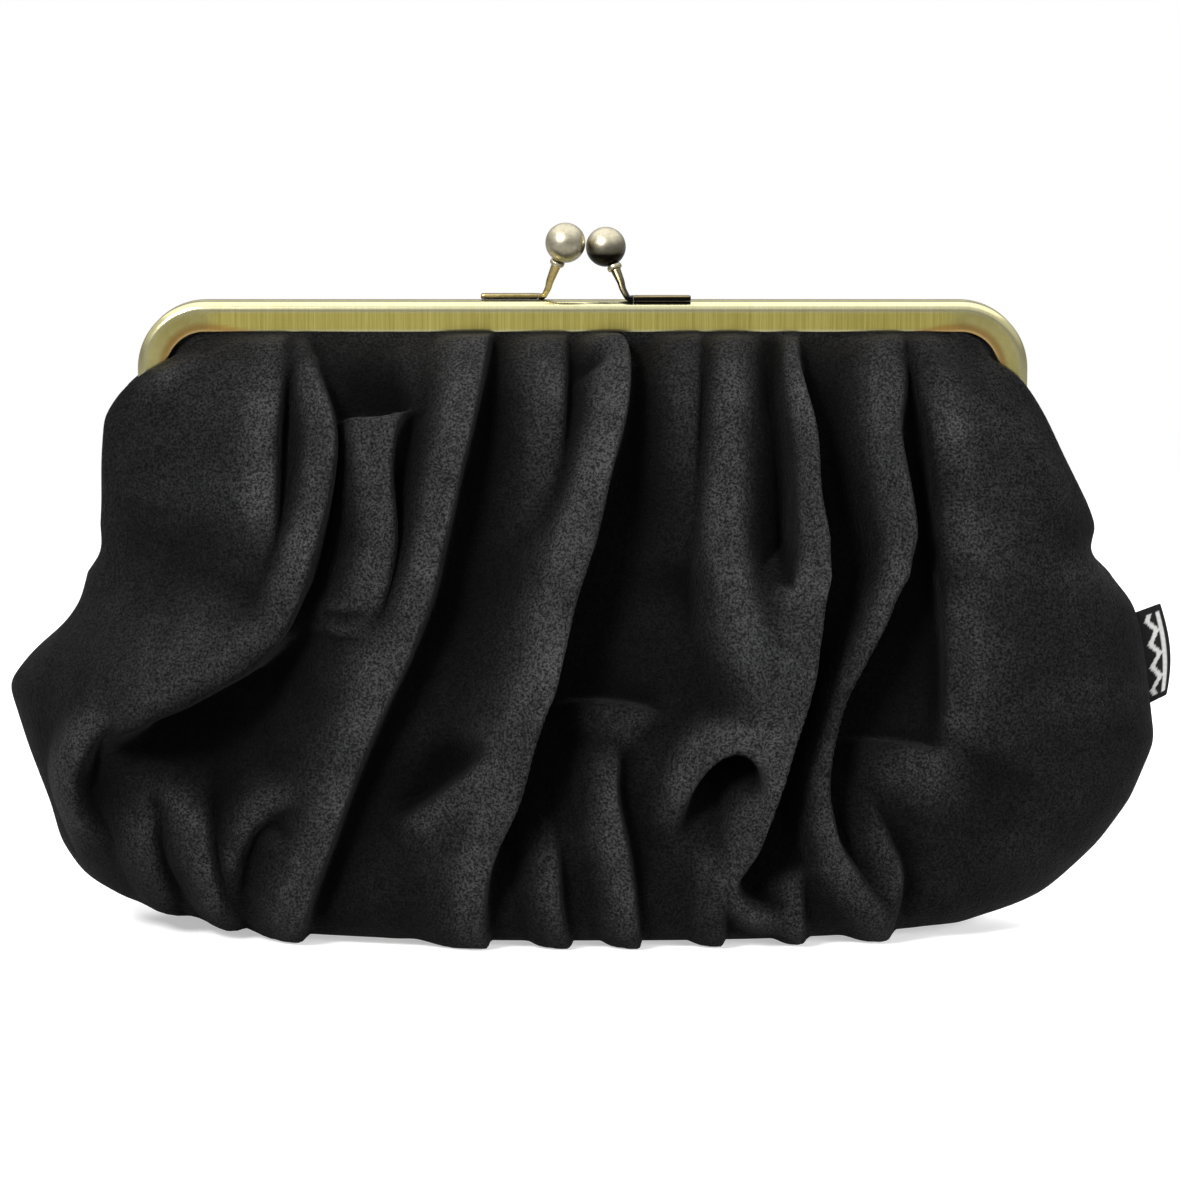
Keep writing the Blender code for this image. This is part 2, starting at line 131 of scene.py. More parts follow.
FRONT_FOLDS = (
    # The plain field on the left ends in a drop.
    Fold(2.4, 0.9, ((-69, 143, 0.5, 30, 3), (-68, 132, 2.5, 40, 4), (-69, 118, 3.5, 45, 6),
                    (-69, 104, 3.5, 45, 6), (-70, 94, 2.5, 45, 5), (-75, 83, 1, 40, 4),
                    (-80, 76, 0, 40, 4))),
    # The first long fold, which turns out to the left and sinks softly into the big hollow.
    Fold(4.2, 1.0, ((-66, 140, 0.5, 4, 4), (-61, 132, 3.5, 7, 4), (-56, 120, 5, 11, 5),
                    (-56, 109, 5.5, 12, 6), (-59, 95, 5.5, 12, 7), (-63, 82, 5, 13, 8),
                    (-68, 73, 3, 13, 10), (-75, 67, 0, 13, 12))),
    Fold(10.0, 1.6, ((-63, 85, 0, 16, 10), (-66, 75, 3, 22, 14), (-75, 66, 5.4, 30, 20),
                     (-87, 59, 6, 34, 26), (-98, 54, 5.4, 32, 26), (-106, 48, 3.4, 24, 16),
                     (-112, 40, 0, 18, 6))),
    # The lit ridge at the lower left, outside the hollow.
    Fold(5.0, 0.5, ((-104, 56, 0, 10, 8), (-109, 51, 3, 10, 8), (-113, 44, 4, 10, 8),
                    (-115, 37, 4, 9, 8), (-114, 29, 3, 8, 6), (-110, 20, 0, 8, 5))),
    # The block under a shelf, and the shelf's bright edge with the recess above it.
    Fold(4.0, 0.5, ((-41, 124, 0, 8, 8), (-42, 119, 4.5, 11, 8), (-43, 109, 5, 12, 8),
                    (-42, 95, 4.5, 12, 8), (-44, 84, 4, 14, 7), (-48, 74, 2, 16, 6),
                    (-53, 66, 0, 16, 5))),
    Fold(1.8, 0.7, ((-54, 121, 0, 14, 10), (-50, 122, 3.5, 14, 12), (-46, 121, 4.5, 14, 12),
                    (-42, 122, 4, 14, 12), (-38, 123, 0, 14, 10))),
    # The long straight diagonal fold.
    Fold(2.4, 0.7, ((-21, 143, 1, 14, 4), (-22, 133, 4, 14, 5), (-24, 122, 5.2, 12, 8),
                    (-27, 109, 5.8, 11, 10), (-30, 95, 5.8, 11, 11), (-33, 82, 5.8, 14, 12),
                    (-39, 68, 4.4, 16, 12), (-45, 56, 3.8, 18, 12), (-51, 42, 3.5, 20, 12),
                    (-56, 28, 3.5, 18, 10), (-62, 11, 3.4, 16, 7), (-66, -6, 2, 14, 6))),
    # The flat pleat beside it.
    Fold(2.0, 0.8, ((-4, 143, 1, 16, 3), (-4, 127, 2.5, 16, 4), (-5, 111, 2, 16, 4),
                    (-9, 100, 1, 16, 4), (-13, 92, 0, 16, 4))),
    # The main fold, with a crisp diagonal at its top.
    Fold(2.2, 0.6, ((-2, 142.5, 0, 8, 4), (5, 139.5, 2.5, 8, 4), (10, 136.5, 3.5, 10, 5),
                    (11, 130, 4.5, 13, 7), (10, 120, 6, 13, 12), (7, 109, 7, 13, 17),
                    (4, 96, 7.5, 14, 21), (-1, 81, 7.5, 19, 22), (-5, 65, 7.5, 21, 19),
                    (-10, 50, 7, 21, 14), (-14, 36, 6.5, 23, 11), (-19, 25, 5, 25, 8),
                    (-22, 14, 3, 20, 6), (-22, -4, 2, 16, 5))),
    # The next pleat, which dies out above a horizontal crease and the small folds under it.
    Fold(2.0, 1.0, ((27, 143, 1, 12, 3), (26, 118, 2.5, 12, 3), (25, 95, 1.5, 10, 3),
                    (24, 85, 0, 10, 3))),
    Fold(1.8, 0.8, ((-5, 54, 0, 10, 9), (0, 57, 2.5, 14, 9), (7, 58, 3, 16, 9), (14, 57, 2.5, 14, 9),
                    (19, 54, 0, 10, 9))),
    Fold(2.2, 0.5, ((7, 56, 0, 7, 5), (8, 46, 2.5, 9, 5), (8, 37, 3, 10, 5), (11, 21, 3, 10, 5),
                    (13, 0, 2, 9, 4))),
    Fold(2.2, 0.5, ((-9, 36, 0, 8, 4), (-6, 24, 2, 9, 4), (-5, 12, 2.5, 9, 4), (-3, -2, 1.5, 9, 4))),
    # The big bright fold: its broad left half, the slot down its middle and its sharp right edge.
    Fold(8.0, 0.0, ((36, 143, 0.5, 9, 3), (35, 130, 3.5, 9, 3), (34, 115, 5, 8, 3),
                    (34, 100, 5.5, 9, 3), (35, 88, 6, 11, 3), (38, 78, 6, 14, 3), (42, 68, 5, 18, 3),
                    (44, 60, 3, 20, 3))),
    Fold(2.6, 0.0, ((43, 143, 0, 2.6, 3), (43, 127, -2, 2.6, 3), (45, 116, -2.5, 2.6, 3),
                    (46, 102, -4, 2.6, 3), (46, 92, -4.5, 2.6, 3), (45, 84, 0, 2.6, 3))),
    Fold(2.2, 0.6, ((49, 140, 1, 6, 4), (50, 130, 4, 6, 6), (53, 118, 6, 8, 9), (54, 104, 7, 9, 12),
                    (56, 90, 7.5, 14, 15), (54, 77, 7.5, 30, 15), (52, 63, 7.5, 32, 14),
                    (48, 49, 7, 26, 12), (44, 36, 6, 13, 12), (40, 25, 5, 10, 11), (36, 17, 4, 8, 9),
                    (39, 11, 3, 7, 6), (47, 8, 1, 7, 4))),
    # The arched hollow under it.
    Fold(3.0, 1.3, ((42, 34, 0, 8, 8), (41, 42, 3, 10, 10), (37, 47, 5, 12, 10),
                    (32, 46.5, 5, 12, 10), (27, 42, 4, 10, 9), (23, 35, 2, 8, 7), (20, 27, 0, 8, 5))),
    # The S-shaped fold: a broad face at the top, then a narrow crest.
    Fold(2.4, 0.6, ((73, 143, 0.5, 13, 4), (72.5, 130, 3, 14, 5), (72, 118, 4.5, 13, 6),
                    (73.5, 107, 5.5, 12, 9), (74.5, 97, 6.3, 10, 11), (73.5, 88, 6.5, 8, 13),
                    (70, 78, 6.5, 7, 16), (65, 67, 6.5, 6.5, 18), (60.5, 56, 6.5, 6.5, 14),
                    (57, 42, 6, 7, 9), (57, 33, 5, 8, 8), (59, 25, 4, 9, 7), (64, 17, 3, 10, 5),
                    (69, 8, 2, 10, 4), (71, -4, 1, 9, 4))),
    # The plain field on the right drops to the left, so its edge is drawn upwards.
    Fold(2.6, 0.6, ((80, 44, 0, 45, 8), (82, 53, 2.5, 50, 8), (83, 63, 3.5, 55, 8),
                    (83, 81, 4, 55, 8), (82, 100, 4, 50, 6), (80, 116, 3.5, 45, 4),
                    (77, 130, 2.5, 40, 3), (74, 143, 0.5, 30, 2))),
    Fold(2.2, 0.5, ((58, 46.5, 0, 20, 9), (66, 48, 2, 25, 9), (74, 48, 2.5, 25, 9),
                    (81, 47, 2, 25, 9), (88, 50, 0, 25, 9))),
    Fold(2.2, 0.5, ((63, 46, 0, 10, 6), (65, 37, 1.5, 12, 6), (70, 26, 2.5, 12, 6),
                    (73, 17, 2.5, 12, 6), (72, 2, 2, 12, 5))),
    # Small folds at the lower left and along the bottom.
    Fold(2.5, 0.7, ((-101, 36, 0, 9, 5), (-99, 29, 1.4, 10, 5), (-98, 22, 2.0, 10, 5),
                    (-95, 10, 1.5, 8, 5))),
    Fold(2.5, 0.7, ((-85, 38, 0, 10, 5), (-85.5, 31, 2, 11, 5), (-85, 24, 2.8, 12, 5),
                    (-83, 14, 2.8, 9, 5), (-80, 2, 1.5, 8, 5))),
    Fold(2.6, 1.0, ((-44, 28, 0, 10, 7), (-38, 33, 2.5, 12, 9), (-31, 39, 3.5, 13, 10),
                    (-25, 44, 3, 12, 9), (-20, 49, 0, 10, 7))),
    Fold(3.0, 0.8, ((-60, 35, 0, 7, 5), (-66, 34, 1.8, 7, 6), (-73, 30, 2.6, 7, 7),
                    (-77.5, 24, 2.6, 6, 6), (-79, 15, 2.4, 6, 5), (-79, 4, 1.2, 6, 5))),
    Fold(2.0, 1.0, ((-74, 25, 0, 5, 5), (-69, 26, 2.4, 5, 6), (-65, 23, 0, 5, 5))),
    Fold(2.2, 0.5, ((31, 28, 0, 7, 4), (32, 18, 2, 8, 4), (32, 0, 1.5, 8, 4))),
    Fold(2.2, 0.5, ((49, 19, 0, 6, 4), (50, 11, 2, 7, 4), (51, -2, 1.5, 7, 4))),
    # Folds that start at the frame's two corners.
    Fold(1.8, 0.5, ((-108, 127, 0, 14, 4), (-101, 132, 2, 16, 4), (-95, 136.5, 2, 16, 4),
                    (-89, 140, 1, 14, 4), (-80, 141, 0, 12, 4))),
    Fold(6.0, 0.2, ((76, 138, 0, 9, 6), (82, 131, 1.5, 10, 6), (91, 125, 1.5, 10, 6),
                    (99, 118, 0, 10, 6))),
    # Two short creases on the block.
    Fold(2.0, 0.8, ((-47, 80, 0, 4, 4), (-52, 78, 2.4, 4, 4), (-58, 79, 0, 4, 4))),
    Fold(2.0, 0.8, ((-46, 74, 0, 4, 4), (-52, 72, 2.4, 4, 4), (-58, 74, 0, 4, 4))),
)

BACK_FOLDS = tuple(
    Fold(2.4, 0.6, ((x, 143, 0.5, 11, 6), (x + lean * 0.1, 125, h * 0.8, 12, 8),
                    (x + lean * 0.4, 95, h, 13, 9), (x + lean * 0.8, 60, h, 15, 10),
                    (x + lean, 30, h * 0.7, 14, 8), (x + lean * 1.1, 0, h * 0.4, 12, 6)))
    for x, lean, h in ((-74, -12, 4.5), (-57, -16, 5.5), (-41, -9, 5), (-24, -13, 6.5), (-7, -4, 5),
                       (11, -9, 6.5), (27, 3, 4.5), (42, -2, 6), (58, 8, 5.5), (73, 14, 4.5))
)


def smoothed_path(points, step=2.0):
    """A Catmull-Rom curve through the points, with its own points about step apart."""
    points = np.array(points, float)
    ends = [2 * points[0] - points[1], *points, 2 * points[-1] - points[-2]]
    path = []
    for a, b, c, d in zip(ends, ends[1:], ends[2:], ends[3:]):
        count = max(2, int(np.linalg.norm((c - b)[:2]) / step))
        t = np.arange(count)[:, None] / count
        cubic = (3 * b - a - 3 * c + d) * t**3 + (2 * a - 5 * b + 4 * c - d) * t**2
        path.append((cubic + (c - a) * t + 2 * b) / 2)
    return np.concatenate([*path, points[-1:]])


def smoothstep(share):
    share = np.clip(share, 0, 1)
    return share * share * (3 - 2 * share)


def blurred(values, width, axis=0):
    """Values smoothed along one axis by a bell curve, with both ends kept in place."""
    reach = max(1, int(3 * width))
    weights = np.exp(-((np.arange(-reach, reach + 1) / width) ** 2) / 2)
    weights /= weights.sum()
    values = np.moveaxis(np.asarray(values, float), axis, 0)
    before = 2 * values[:1] - values[1 : reach + 1][::-1]
    after = 2 * values[-1:] - values[-reach - 1 : -1][::-1]
    long = np.concatenate([before, values, after])
    blurred_values = sum(w * long[i : i + len(values)] for i, w in enumerate(weights))
    return np.moveaxis(blurred_values, 0, axis)


def along(points):
    """Distance along a line of points, from its first one."""
    return np.concatenate([[0], np.cumsum(np.linalg.norm(np.diff(points, axis=0), axis=1))])


def respaced(points, count):
    """The same line with that many evenly spaced points."""
    points = np.asarray(points, float)
    distance = along(points)
    wanted = np.linspace(0, distance[-1], count)
    return np.stack([np.interp(wanted, distance, column) for column in points.T], axis=1)


# A panel's grid: its points, and for each one the distance in from the silhouette and from the
# bottom seam, and its height as it counts for the folds, which goes on below 0 under the bag.
Grid = namedtuple("Grid", "points inside above height length")


def section_row(section, columns):
    """One row of the front panel, from its left tuck round to its right one, and the distances in."""
    height, depth, left, right, edge = section
    s = np.sin(np.linspace(-math.pi / 2, math.pi / 2, 241))
    swell = np.sqrt(np.clip(1 - np.abs(s) ** SIDE_ROUNDNESS, 0, 1))
    front = np.stack([(left + right) / 2 + s * (right - left) / 2,
                      -(edge + (depth - edge) * swell)], axis=1)
    left_end, right_end = tuck_end(front[0], height), tuck_end(front[-1], height)[::-1]
    line = np.concatenate([left_end, front, right_end])
    strips = along(np.concatenate([left_end, front[:1]]))[-1], along(np.concatenate([front[-1:], right_end]))[-1]
    length = along(line)[-1]
    row = respaced(line, columns)
    distance = np.linspace(0, length, columns)
    inside = np.minimum(distance - strips[0], length - strips[1] - distance)
    return np.concatenate([row, np.full((columns, 1), height)], axis=1), inside


def tuck_end(corner, height):
    """The panel's edge at this height, from its end to the corner: hooked into the frame's channel,
    or all at the side seam below the hinges."""
    table = np.array(TUCKS[::-1], float)
    hook = [np.interp(height, table[:, 0], column) for column in table.T[1:]]
    hook = np.reshape(hook, (3, 2)) * (math.copysign(1, corner[0]), -1)
    share = smoothstep((height - TUCK_START) / (TUCKS[-1][0] - TUCK_START))
    return corner + share * (hook - corner)


def panel_grid(spacing):
    """The smooth shape of one side's panel, drawn as the front one."""
    sections = np.array(SECTIONS, float)
    profile = along(sections[:, :2])
    rows = int(profile[-1] / spacing)
    wanted = np.linspace(0, profile[-1], rows)
    dense = np.stack([np.interp(wanted, profile, column) for column in sections.T], axis=1)
    dense = blurred(dense, SECTION_SMOOTHING / spacing)
    across = 1.14 * (sections[:, 3] - sections[:, 2]).max()
    columns = int(across / spacing)
    made = [section_row(row, columns) for row in dense]
    points = np.stack([row for row, _ in made])
    points = blurred(blurred(points, 1.2 / spacing, axis=1), 1.0 / spacing, axis=0)
    inside = blurred(np.stack([inside for _, inside in made]), 1.5 / spacing, axis=0)
    down = along(dense[:, :2])
    above = down[-1] - down
    turn = np.argmax(dense[:, 0] < 12)
    height = np.where(np.arange(rows) < turn, dense[:, 0], dense[turn, 0] - (down - down[turn]))
    return Grid(points, inside, np.repeat(above[:, None], columns, 1),
                np.repeat(height[:, None], columns, 1), down[-1])


def normals_of(points):
    """Outward unit normals of a front panel's grid of points."""
    across = np.gradient(points, axis=1)
    down = np.gradient(points, axis=0)
    normal = np.cross(down, across)
    normal /= np.linalg.norm(normal, axis=2, keepdims=True) + 1e-9
    return normal * np.where(normal[:, :, 1:2].mean() > 0, -1, 1)


def beside(path, x, height):
    """For each place: its distance from the path, negative on its left, the way to the right there,
    and the path's other values."""
    nearest = np.full(x.shape, np.inf)
    distance = np.zeros(x.shape)
    rightwards = np.zeros((2, *x.shape))
    values = np.zeros((*x.shape, path.shape[1] - 2))
    for a, b in zip(path, path[1:]):
        dx, dz = b[:2] - a[:2]
        share = np.clip(((x - a[0]) * dx + (height - a[1]) * dz) / (dx * dx + dz * dz), 0, 1)
        ex, ez = x - a[0] - share * dx, height - a[1] - share * dz
        gap = ex * ex + ez * ez
        closer = gap < nearest
        nearest[closer] = gap[closer]
        side = np.where(ez * dx - ex * dz > 0, 1.0, -1.0)[closer]
        distance[closer] = side * np.sqrt(gap[closer])
        rightwards[:, closer] = np.array([[-dz], [dx]]) / math.hypot(dx, dz)
        values[closer] = a[2:] + share[closer, None] * (b[2:] - a[2:])
    return distance, rightwards, values.T


def fold_relief(grid, folds):
    """How far all the folds push each point out, in millimetres, how far along (x, height), and its
    painted shading: 1 for a painted highlight beside a crest, down to -1 for painted shade in a valley or slot."""
    x, height = grid.points[:, :, 0].ravel(), grid.height.ravel()
    crests, valleys, grooves, painted_valley_shade, painted_crest_highlight = (np.zeros(x.shape) for _ in range(5))
    shift = np.zeros((2, *x.shape))
    for fold in folds:
        path = smoothed_path(fold.crest)
        margin = max(path[:, 3].max(), 2.6 * path[:, 4].max(), fold.steep)
        near = ((x > path[:, 0].min() - margin) & (x < path[:, 0].max() + margin)
                & (height > path[:, 1].min() - margin) & (height < path[:, 1].max() + margin))
        d, rightwards, (h, width, reach) = beside(path, x[near], height[near])
        # A narrow face is round with a crease at its foot, and a wide one runs out smoothly.
        power = np.interp(width, (12, 26), (0.85, 2.2))
        face = h * np.clip(1 - (d / width) ** 2, 0, 1) ** power
        fallen = smoothstep(d / fold.steep)
        hump = np.where(d < 0, face, h * (1 - fallen))
        valley = fold.dip * np.maximum(h, 0) * fallen * np.exp(-((d / reach) ** 2))
        crests[near] += np.maximum(hump, 0) ** 4
        grooves[near] += np.minimum(hump, 0)
        valleys[near] += valley**4
        # The foot of the drop is drawn in under the crest.
        under = (fold.steep * 0.8 + OVERHANG) * np.clip(h / 6, 0, 1.2)
        under = under * fallen * (1 - smoothstep((d - fold.steep) / (reach + 2)))
        shift[:, near] -= rightwards * under * (fold.dip > 0)
        # Painted shade: the valley beside a drop and a slot are marked here to be darkened in the velvet's
        # colour.
        drop = smoothstep(0.5 + d / fold.steep) * np.exp(-((np.maximum(d, 0) / (reach + 1)) ** 2))
        slot = 1.6 * np.exp(-((d / 2.2) ** 2))
        painted_shade_here = np.where(h < 0, slot, drop) * np.clip(np.abs(h) / 5, 0, 1)
        painted_valley_shade[near] = np.maximum(painted_valley_shade[near], painted_shade_here * (fold.dip > 0) + slot * (h < -0.5))
        # Painted highlight: a band on the lit face just left of each crest is marked here to be lightened.
        band = np.minimum(width, 14)
        edge = np.exp(-(((d + 0.3 * band) / (0.32 * band)) ** 2)) * np.clip(h / 5, 0, 1)
        edge *= fold.steep < SOFT_DROP
        painted_crest_highlight[near] = np.maximum(painted_crest_highlight[near], edge)
    relief = FOLD_DEPTH * (crests**0.25 - valleys**0.25 + grooves)
    shape = grid.height.shape
    painted_valley_shade = np.minimum(painted_valley_shade, 1)
    painted_fold_shading = painted_crest_highlight * (1 - painted_valley_shade) - painted_valley_shade
    return relief.reshape(shape), shift.reshape(2, *shape), painted_fold_shading.reshape(shape)


def wrinkles(grid, seed):
    """Small irregular dents, longer down the cloth than across it, and a finer unevenness."""
    values = np.empty(grid.height.shape)
    for r, c in np.ndindex(*values.shape):
        x, _, _ = grid.points[r, c]
        z = grid.height[r, c]
        broad = noise.noise(Vector((x / 16, z / 26, seed)))
        fine = noise.noise(Vector((x / 5.5, z / 7.5, seed + 7)))
        values[r, c] = 0.75 * broad + 0.16 * fine
    return values


def softened(values):
    return blurred(blurred(values, 0.7), 0.7, axis=1)


def main_relief(grid, folds, seed):
    """The panel's relief, its shift and its painted shading, let out slowly below the rail and away
    from its seams."""
    relief, shift, painted_fold_shading = fold_relief(grid, folds)
    relief = softened(relief) + wrinkles(grid, seed)
    shift = np.stack([softened(part) for part in shift])
    loose = smoothstep((140.6 - grid.height) / 3.6) * smoothstep(grid.inside / 11)
    loose *= smoothstep(grid.above / 16)
    relief = np.where(relief < 0, relief * smoothstep(grid.height / 16), relief)
    shift[1] *= smoothstep((grid.height - 8) / 10)
    return relief * loose, shift * loose, softened(painted_fold_shading) * loose


def lowest_around(relief, reach):
    """The lowest relief within so many points of each one, which is what an inner layer can follow."""
    low = relief
    for axis in (0, 1):
        padded = np.pad(low, [(reach, reach) if i == axis else (0, 0) for i in (0, 1)], mode="edge")
        count = low.shape[axis]
        low = np.min([np.take(padded, range(i, i + count), axis) for i in range(2 * reach + 1)], 0)
    return blurred(blurred(low, 1.5), 1.5, axis=1)


def panel_points(grid, relief, shift, inset):
    """The grid pushed out by the relief and in by the inset, which fades at the edges."""
    room = np.interp(-grid.points[:, :, 1], (3.3, 4.0, 9.0), (0.25, 0.3, 1.0))
    room = np.where(grid.height < 60, 1.0, room)
    out = relief - inset * room
    out -= SEAM_GROOVE * np.exp(-((grid.inside / SEAM_WIDTH) ** 2)) * smoothstep((TUCK_START - grid.height) / 4)
    points = grid.points + normals_of(grid.points) * out[:, :, None]
    points[:, :, 0] += shift[0]
    points[:, :, 2] += shift[1]
    points[:, :, 1] = np.minimum(points[:, :, 1], 0.0)
    floor = FLOOR_GAP + inset * 0.5
    low = points[:, :, 2] < floor
    points[:, :, 2] = np.where(low, floor + 0.05 * (points[:, :, 2] - floor), points[:, :, 2])
    return points


def add_panel(name, points, relief, painted_fold_shading, facing, material):
    """A mesh from a grid of points, with flat cloth coordinates and its painted shading: painted shade in
    hollows, valleys and slots, painted highlights on bumps and beside crests.
    """
    rows, columns = points.shape[:2]
    placed = points * (1, -facing, 1) * MM
    index = np.arange(rows * columns).reshape(rows, columns)
    quads = np.stack([index[:-1, :-1], index[1:, :-1], index[1:, 1:], index[:-1, 1:]], axis=2)
    quads = quads.reshape(-1, 4)
    if facing == BACK:
        quads = quads[:, ::-1]
    mesh = bpy.data.meshes.new(name)
    mesh.from_pydata(placed.reshape(-1, 3), [], quads.tolist())
    mesh.shade_smooth()
    steps = np.linalg.norm(np.diff(points, axis=1), axis=2).mean(0)
    u = np.concatenate([[0], np.cumsum(steps)])
    steps = np.linalg.norm(np.diff(points, axis=0), axis=2).mean(1)
    v = np.concatenate([[0], np.cumsum(steps)])
    flat = np.stack(np.broadcast_arrays(u[None, :], v[:, None]), axis=2).reshape(-1, 2) * MM
    loops = np.empty(len(mesh.loops), np.int32)
    mesh.loops.foreach_get("vertex_index", loops)
    uv = mesh.uv_layers.new(name="flat_cloth")
    uv.data.foreach_set("uv", flat[loops].astype(np.float32).ravel())
    # Painted shade and highlight: hollows against the blurred surround are darkened and bumps lightened, with
    # the fold marks' shade and highlights added.
    around = blurred(blurred(relief, 7), 7, axis=1)
    painted_shading = smoothstep(0.49 + (relief - around) / 10 + relief / 75)
    painted_shading = painted_shading * (1 - 0.9 * np.maximum(-painted_fold_shading, 0)) + 0.4 * np.maximum(painted_fold_shading, 0)
    values = np.clip(painted_shading, 0, 1).astype(np.float32).ravel()
    mesh.attributes.new("painted_fold_shading", "FLOAT", "POINT").data.foreach_set("value", values)
    mesh.materials.append(material)
    obj = bpy.data.objects.new(name, mesh)
    bpy.context.scene.collection.objects.link(obj)
    return obj


class Nodes:
    """A material's node tree, with short calls to add and link nodes."""

    def __init__(self, name):
        self.material = bpy.data.materials.new(name)
        self.material.use_nodes = True
        self.tree = self.material.node_tree
        self.shader = self.tree.nodes["Principled BSDF"]

    def add(self, kind, inputs=None, **settings):
        node = self.tree.nodes.new("ShaderNode" + kind)
        for name, value in settings.items():
            setattr(node, name, value)
        for name, value in (inputs or {}).items():
            self.put(node.inputs[name], value)
        return node

    def put(self, socket, value):
        """Sets a socket, or links it if the value is another node's output."""
        if isinstance(value, bpy.types.NodeSocket):
            self.tree.links.new(value, socket)
        else:
            socket.default_value = value

    def finish(self, **inputs):
        for name, value in inputs.items():
            self.put(self.shader.inputs[name.replace("_", " ")], value)
        return self.material

    def place(self, scale=(1, 1, 1)):
        """The place on the object in metres, stretched by the scale."""
        coordinates = self.add("TexCoord")
        mapping = self.add("Mapping", {"Vector": coordinates.outputs["Object"], "Scale": scale})
        return mapping.outputs["Vector"]

    def noise(self, place, scale, detail=2.0, roughness=0.5):
        settings = {"Vector": place, "Scale": scale, "Detail": detail, "Roughness": roughness}
        return self.add("TexNoise", settings).outputs["Fac"]

    def ramp(self, value, *stops):
        """A colour ramp through (position, colour) stops."""
        node = self.add("ValToRGB", {"Fac": value})
        ramp = node.color_ramp
        while len(ramp.elements) < len(stops):
            ramp.elements.new(0.5)
        for element, (position, colour) in zip(ramp.elements, stops):
            element.position = position
            element.color = (*colour, 1.0)
        return node.outputs["Color"]

    def mix(self, share, a, b, blend="MIX"):
        node = self.add("Mix", data_type="RGBA", blend_type=blend)
        for socket, value in zip((node.inputs[0], node.inputs[6], node.inputs[7]), (share, a, b)):
            if isinstance(value, tuple):
                value = (*value, 1.0)
            self.put(socket, value)
        return node.outputs[2]

    def math(self, operation, a, b=0.0):
        node = self.add("Math", operation=operation)
        self.put(node.inputs[0], a)
        self.put(node.inputs[1], b)
        return node.outputs[0]

    def bump(self, height, distance, strength=1.0, under=None):
        inputs = {"Height": height, "Distance": distance, "Strength": strength}
        if under is not None:
            inputs["Normal"] = under
        return self.add("Bump", inputs).outputs["Normal"]


def velvet_material():
    """Short-nap black velvet: mottled where the nap lies different ways, with painted shade down in the folds
    and painted highlights beside their crests.
    """
    nodes = Nodes("black_velvet")
    place = nodes.place()
    speckle = nodes.noise(place, 1750, 3.0, 0.75)
    strokes = nodes.noise(nodes.place((1, 1, 0.5)), 520, 3.0, 0.65)
    clouds = nodes.noise(place, 60, 3.0, 0.6)
    lie = nodes.math("MULTIPLY", strokes, 0.3)
    lie = nodes.math("ADD", lie, nodes.math("MULTIPLY", clouds, 0.7))
    colour = nodes.ramp(lie, (0.3, (0.026, 0.026, 0.0265)), (0.5, (0.047, 0.047, 0.048)),
                        (0.7, (0.08, 0.08, 0.082)))
    grain = nodes.ramp(speckle, (0.42, (0.15, 0.15, 0.15)), (0.6, (1.0, 1.0, 1.0)))
    colour = nodes.mix(1.0, colour, grain, "MULTIPLY")
    # Painted shade and highlight from the mesh's marks: darker in valleys and hollows, lighter beside crests.
    painted_fold_shading = nodes.add("Attribute", attribute_name="painted_fold_shading").outputs["Fac"]
    depth = nodes.ramp(painted_fold_shading, (0.1, (0.035, 0.035, 0.035)), (0.45, (0.22, 0.22, 0.22)),
                       (0.75, (0.55, 0.55, 0.55)), (1.0, (1.0, 1.0, 1.0)))
    colour = nodes.mix(1.0, colour, depth, "MULTIPLY")
    rough = nodes.math("ADD", 0.5, nodes.math("MULTIPLY", strokes, 0.2))
    nap = nodes.bump(speckle, 0.0006, 0.9)
    nap = nodes.bump(strokes, 0.0012, 0.35, nap)
    return nodes.finish(Base_Color=colour, Roughness=rough, Normal=nap, Specular_IOR_Level=0.05,
                        Sheen_Weight=0.03, Sheen_Roughness=0.35, Sheen_Tint=(1.0, 0.99, 0.98, 1.0))


def lining_material():
    """Black satin-weave lining, with fine ribs and a soft gloss."""
    nodes = Nodes("lining_satin")
    place = nodes.place()
    rib = nodes.add("TexWave", {"Vector": nodes.place((1, 0, 0)), "Scale": 1500.0, "Distortion": 0.4},
                    bands_direction="X").outputs["Fac"]
    slub = nodes.noise(nodes.place((1, 1, 0.08)), 900, 3.0)
    clouds = nodes.noise(place, 40, 3.0)
    colour = nodes.ramp(clouds, (0.3, (0.012, 0.012, 0.014)), (0.7, (0.028, 0.028, 0.032)))
    rough = nodes.math("ADD", 0.3, nodes.math("MULTIPLY", slub, 0.25))
    weave = nodes.bump(rib, 0.00008, 0.5)
    weave = nodes.bump(slub, 0.0001, 0.5, weave)
    return nodes.finish(Base_Color=colour, Roughness=rough, Normal=weave, Specular_IOR_Level=0.5,
                        Sheen_Weight=0.15)


def fleece_material():
    """Matt charcoal wadding with loose fibres."""
    nodes = Nodes("fleece_wadding")
    fibres = nodes.noise(nodes.place((1, 1, 0.4)), 700, 5.0, 0.7)
    lumps = nodes.noise(nodes.place(), 120, 3.0)
    colour = nodes.ramp(lumps, (0.3, (0.02, 0.02, 0.021)), (0.7, (0.045, 0.045, 0.047)))
    nap = nodes.bump(fibres, 0.0008, 0.6)
    return nodes.finish(Base_Color=colour, Roughness=0.95, Normal=nap, Specular_IOR_Level=0.1,
                        Sheen_Weight=0.1)


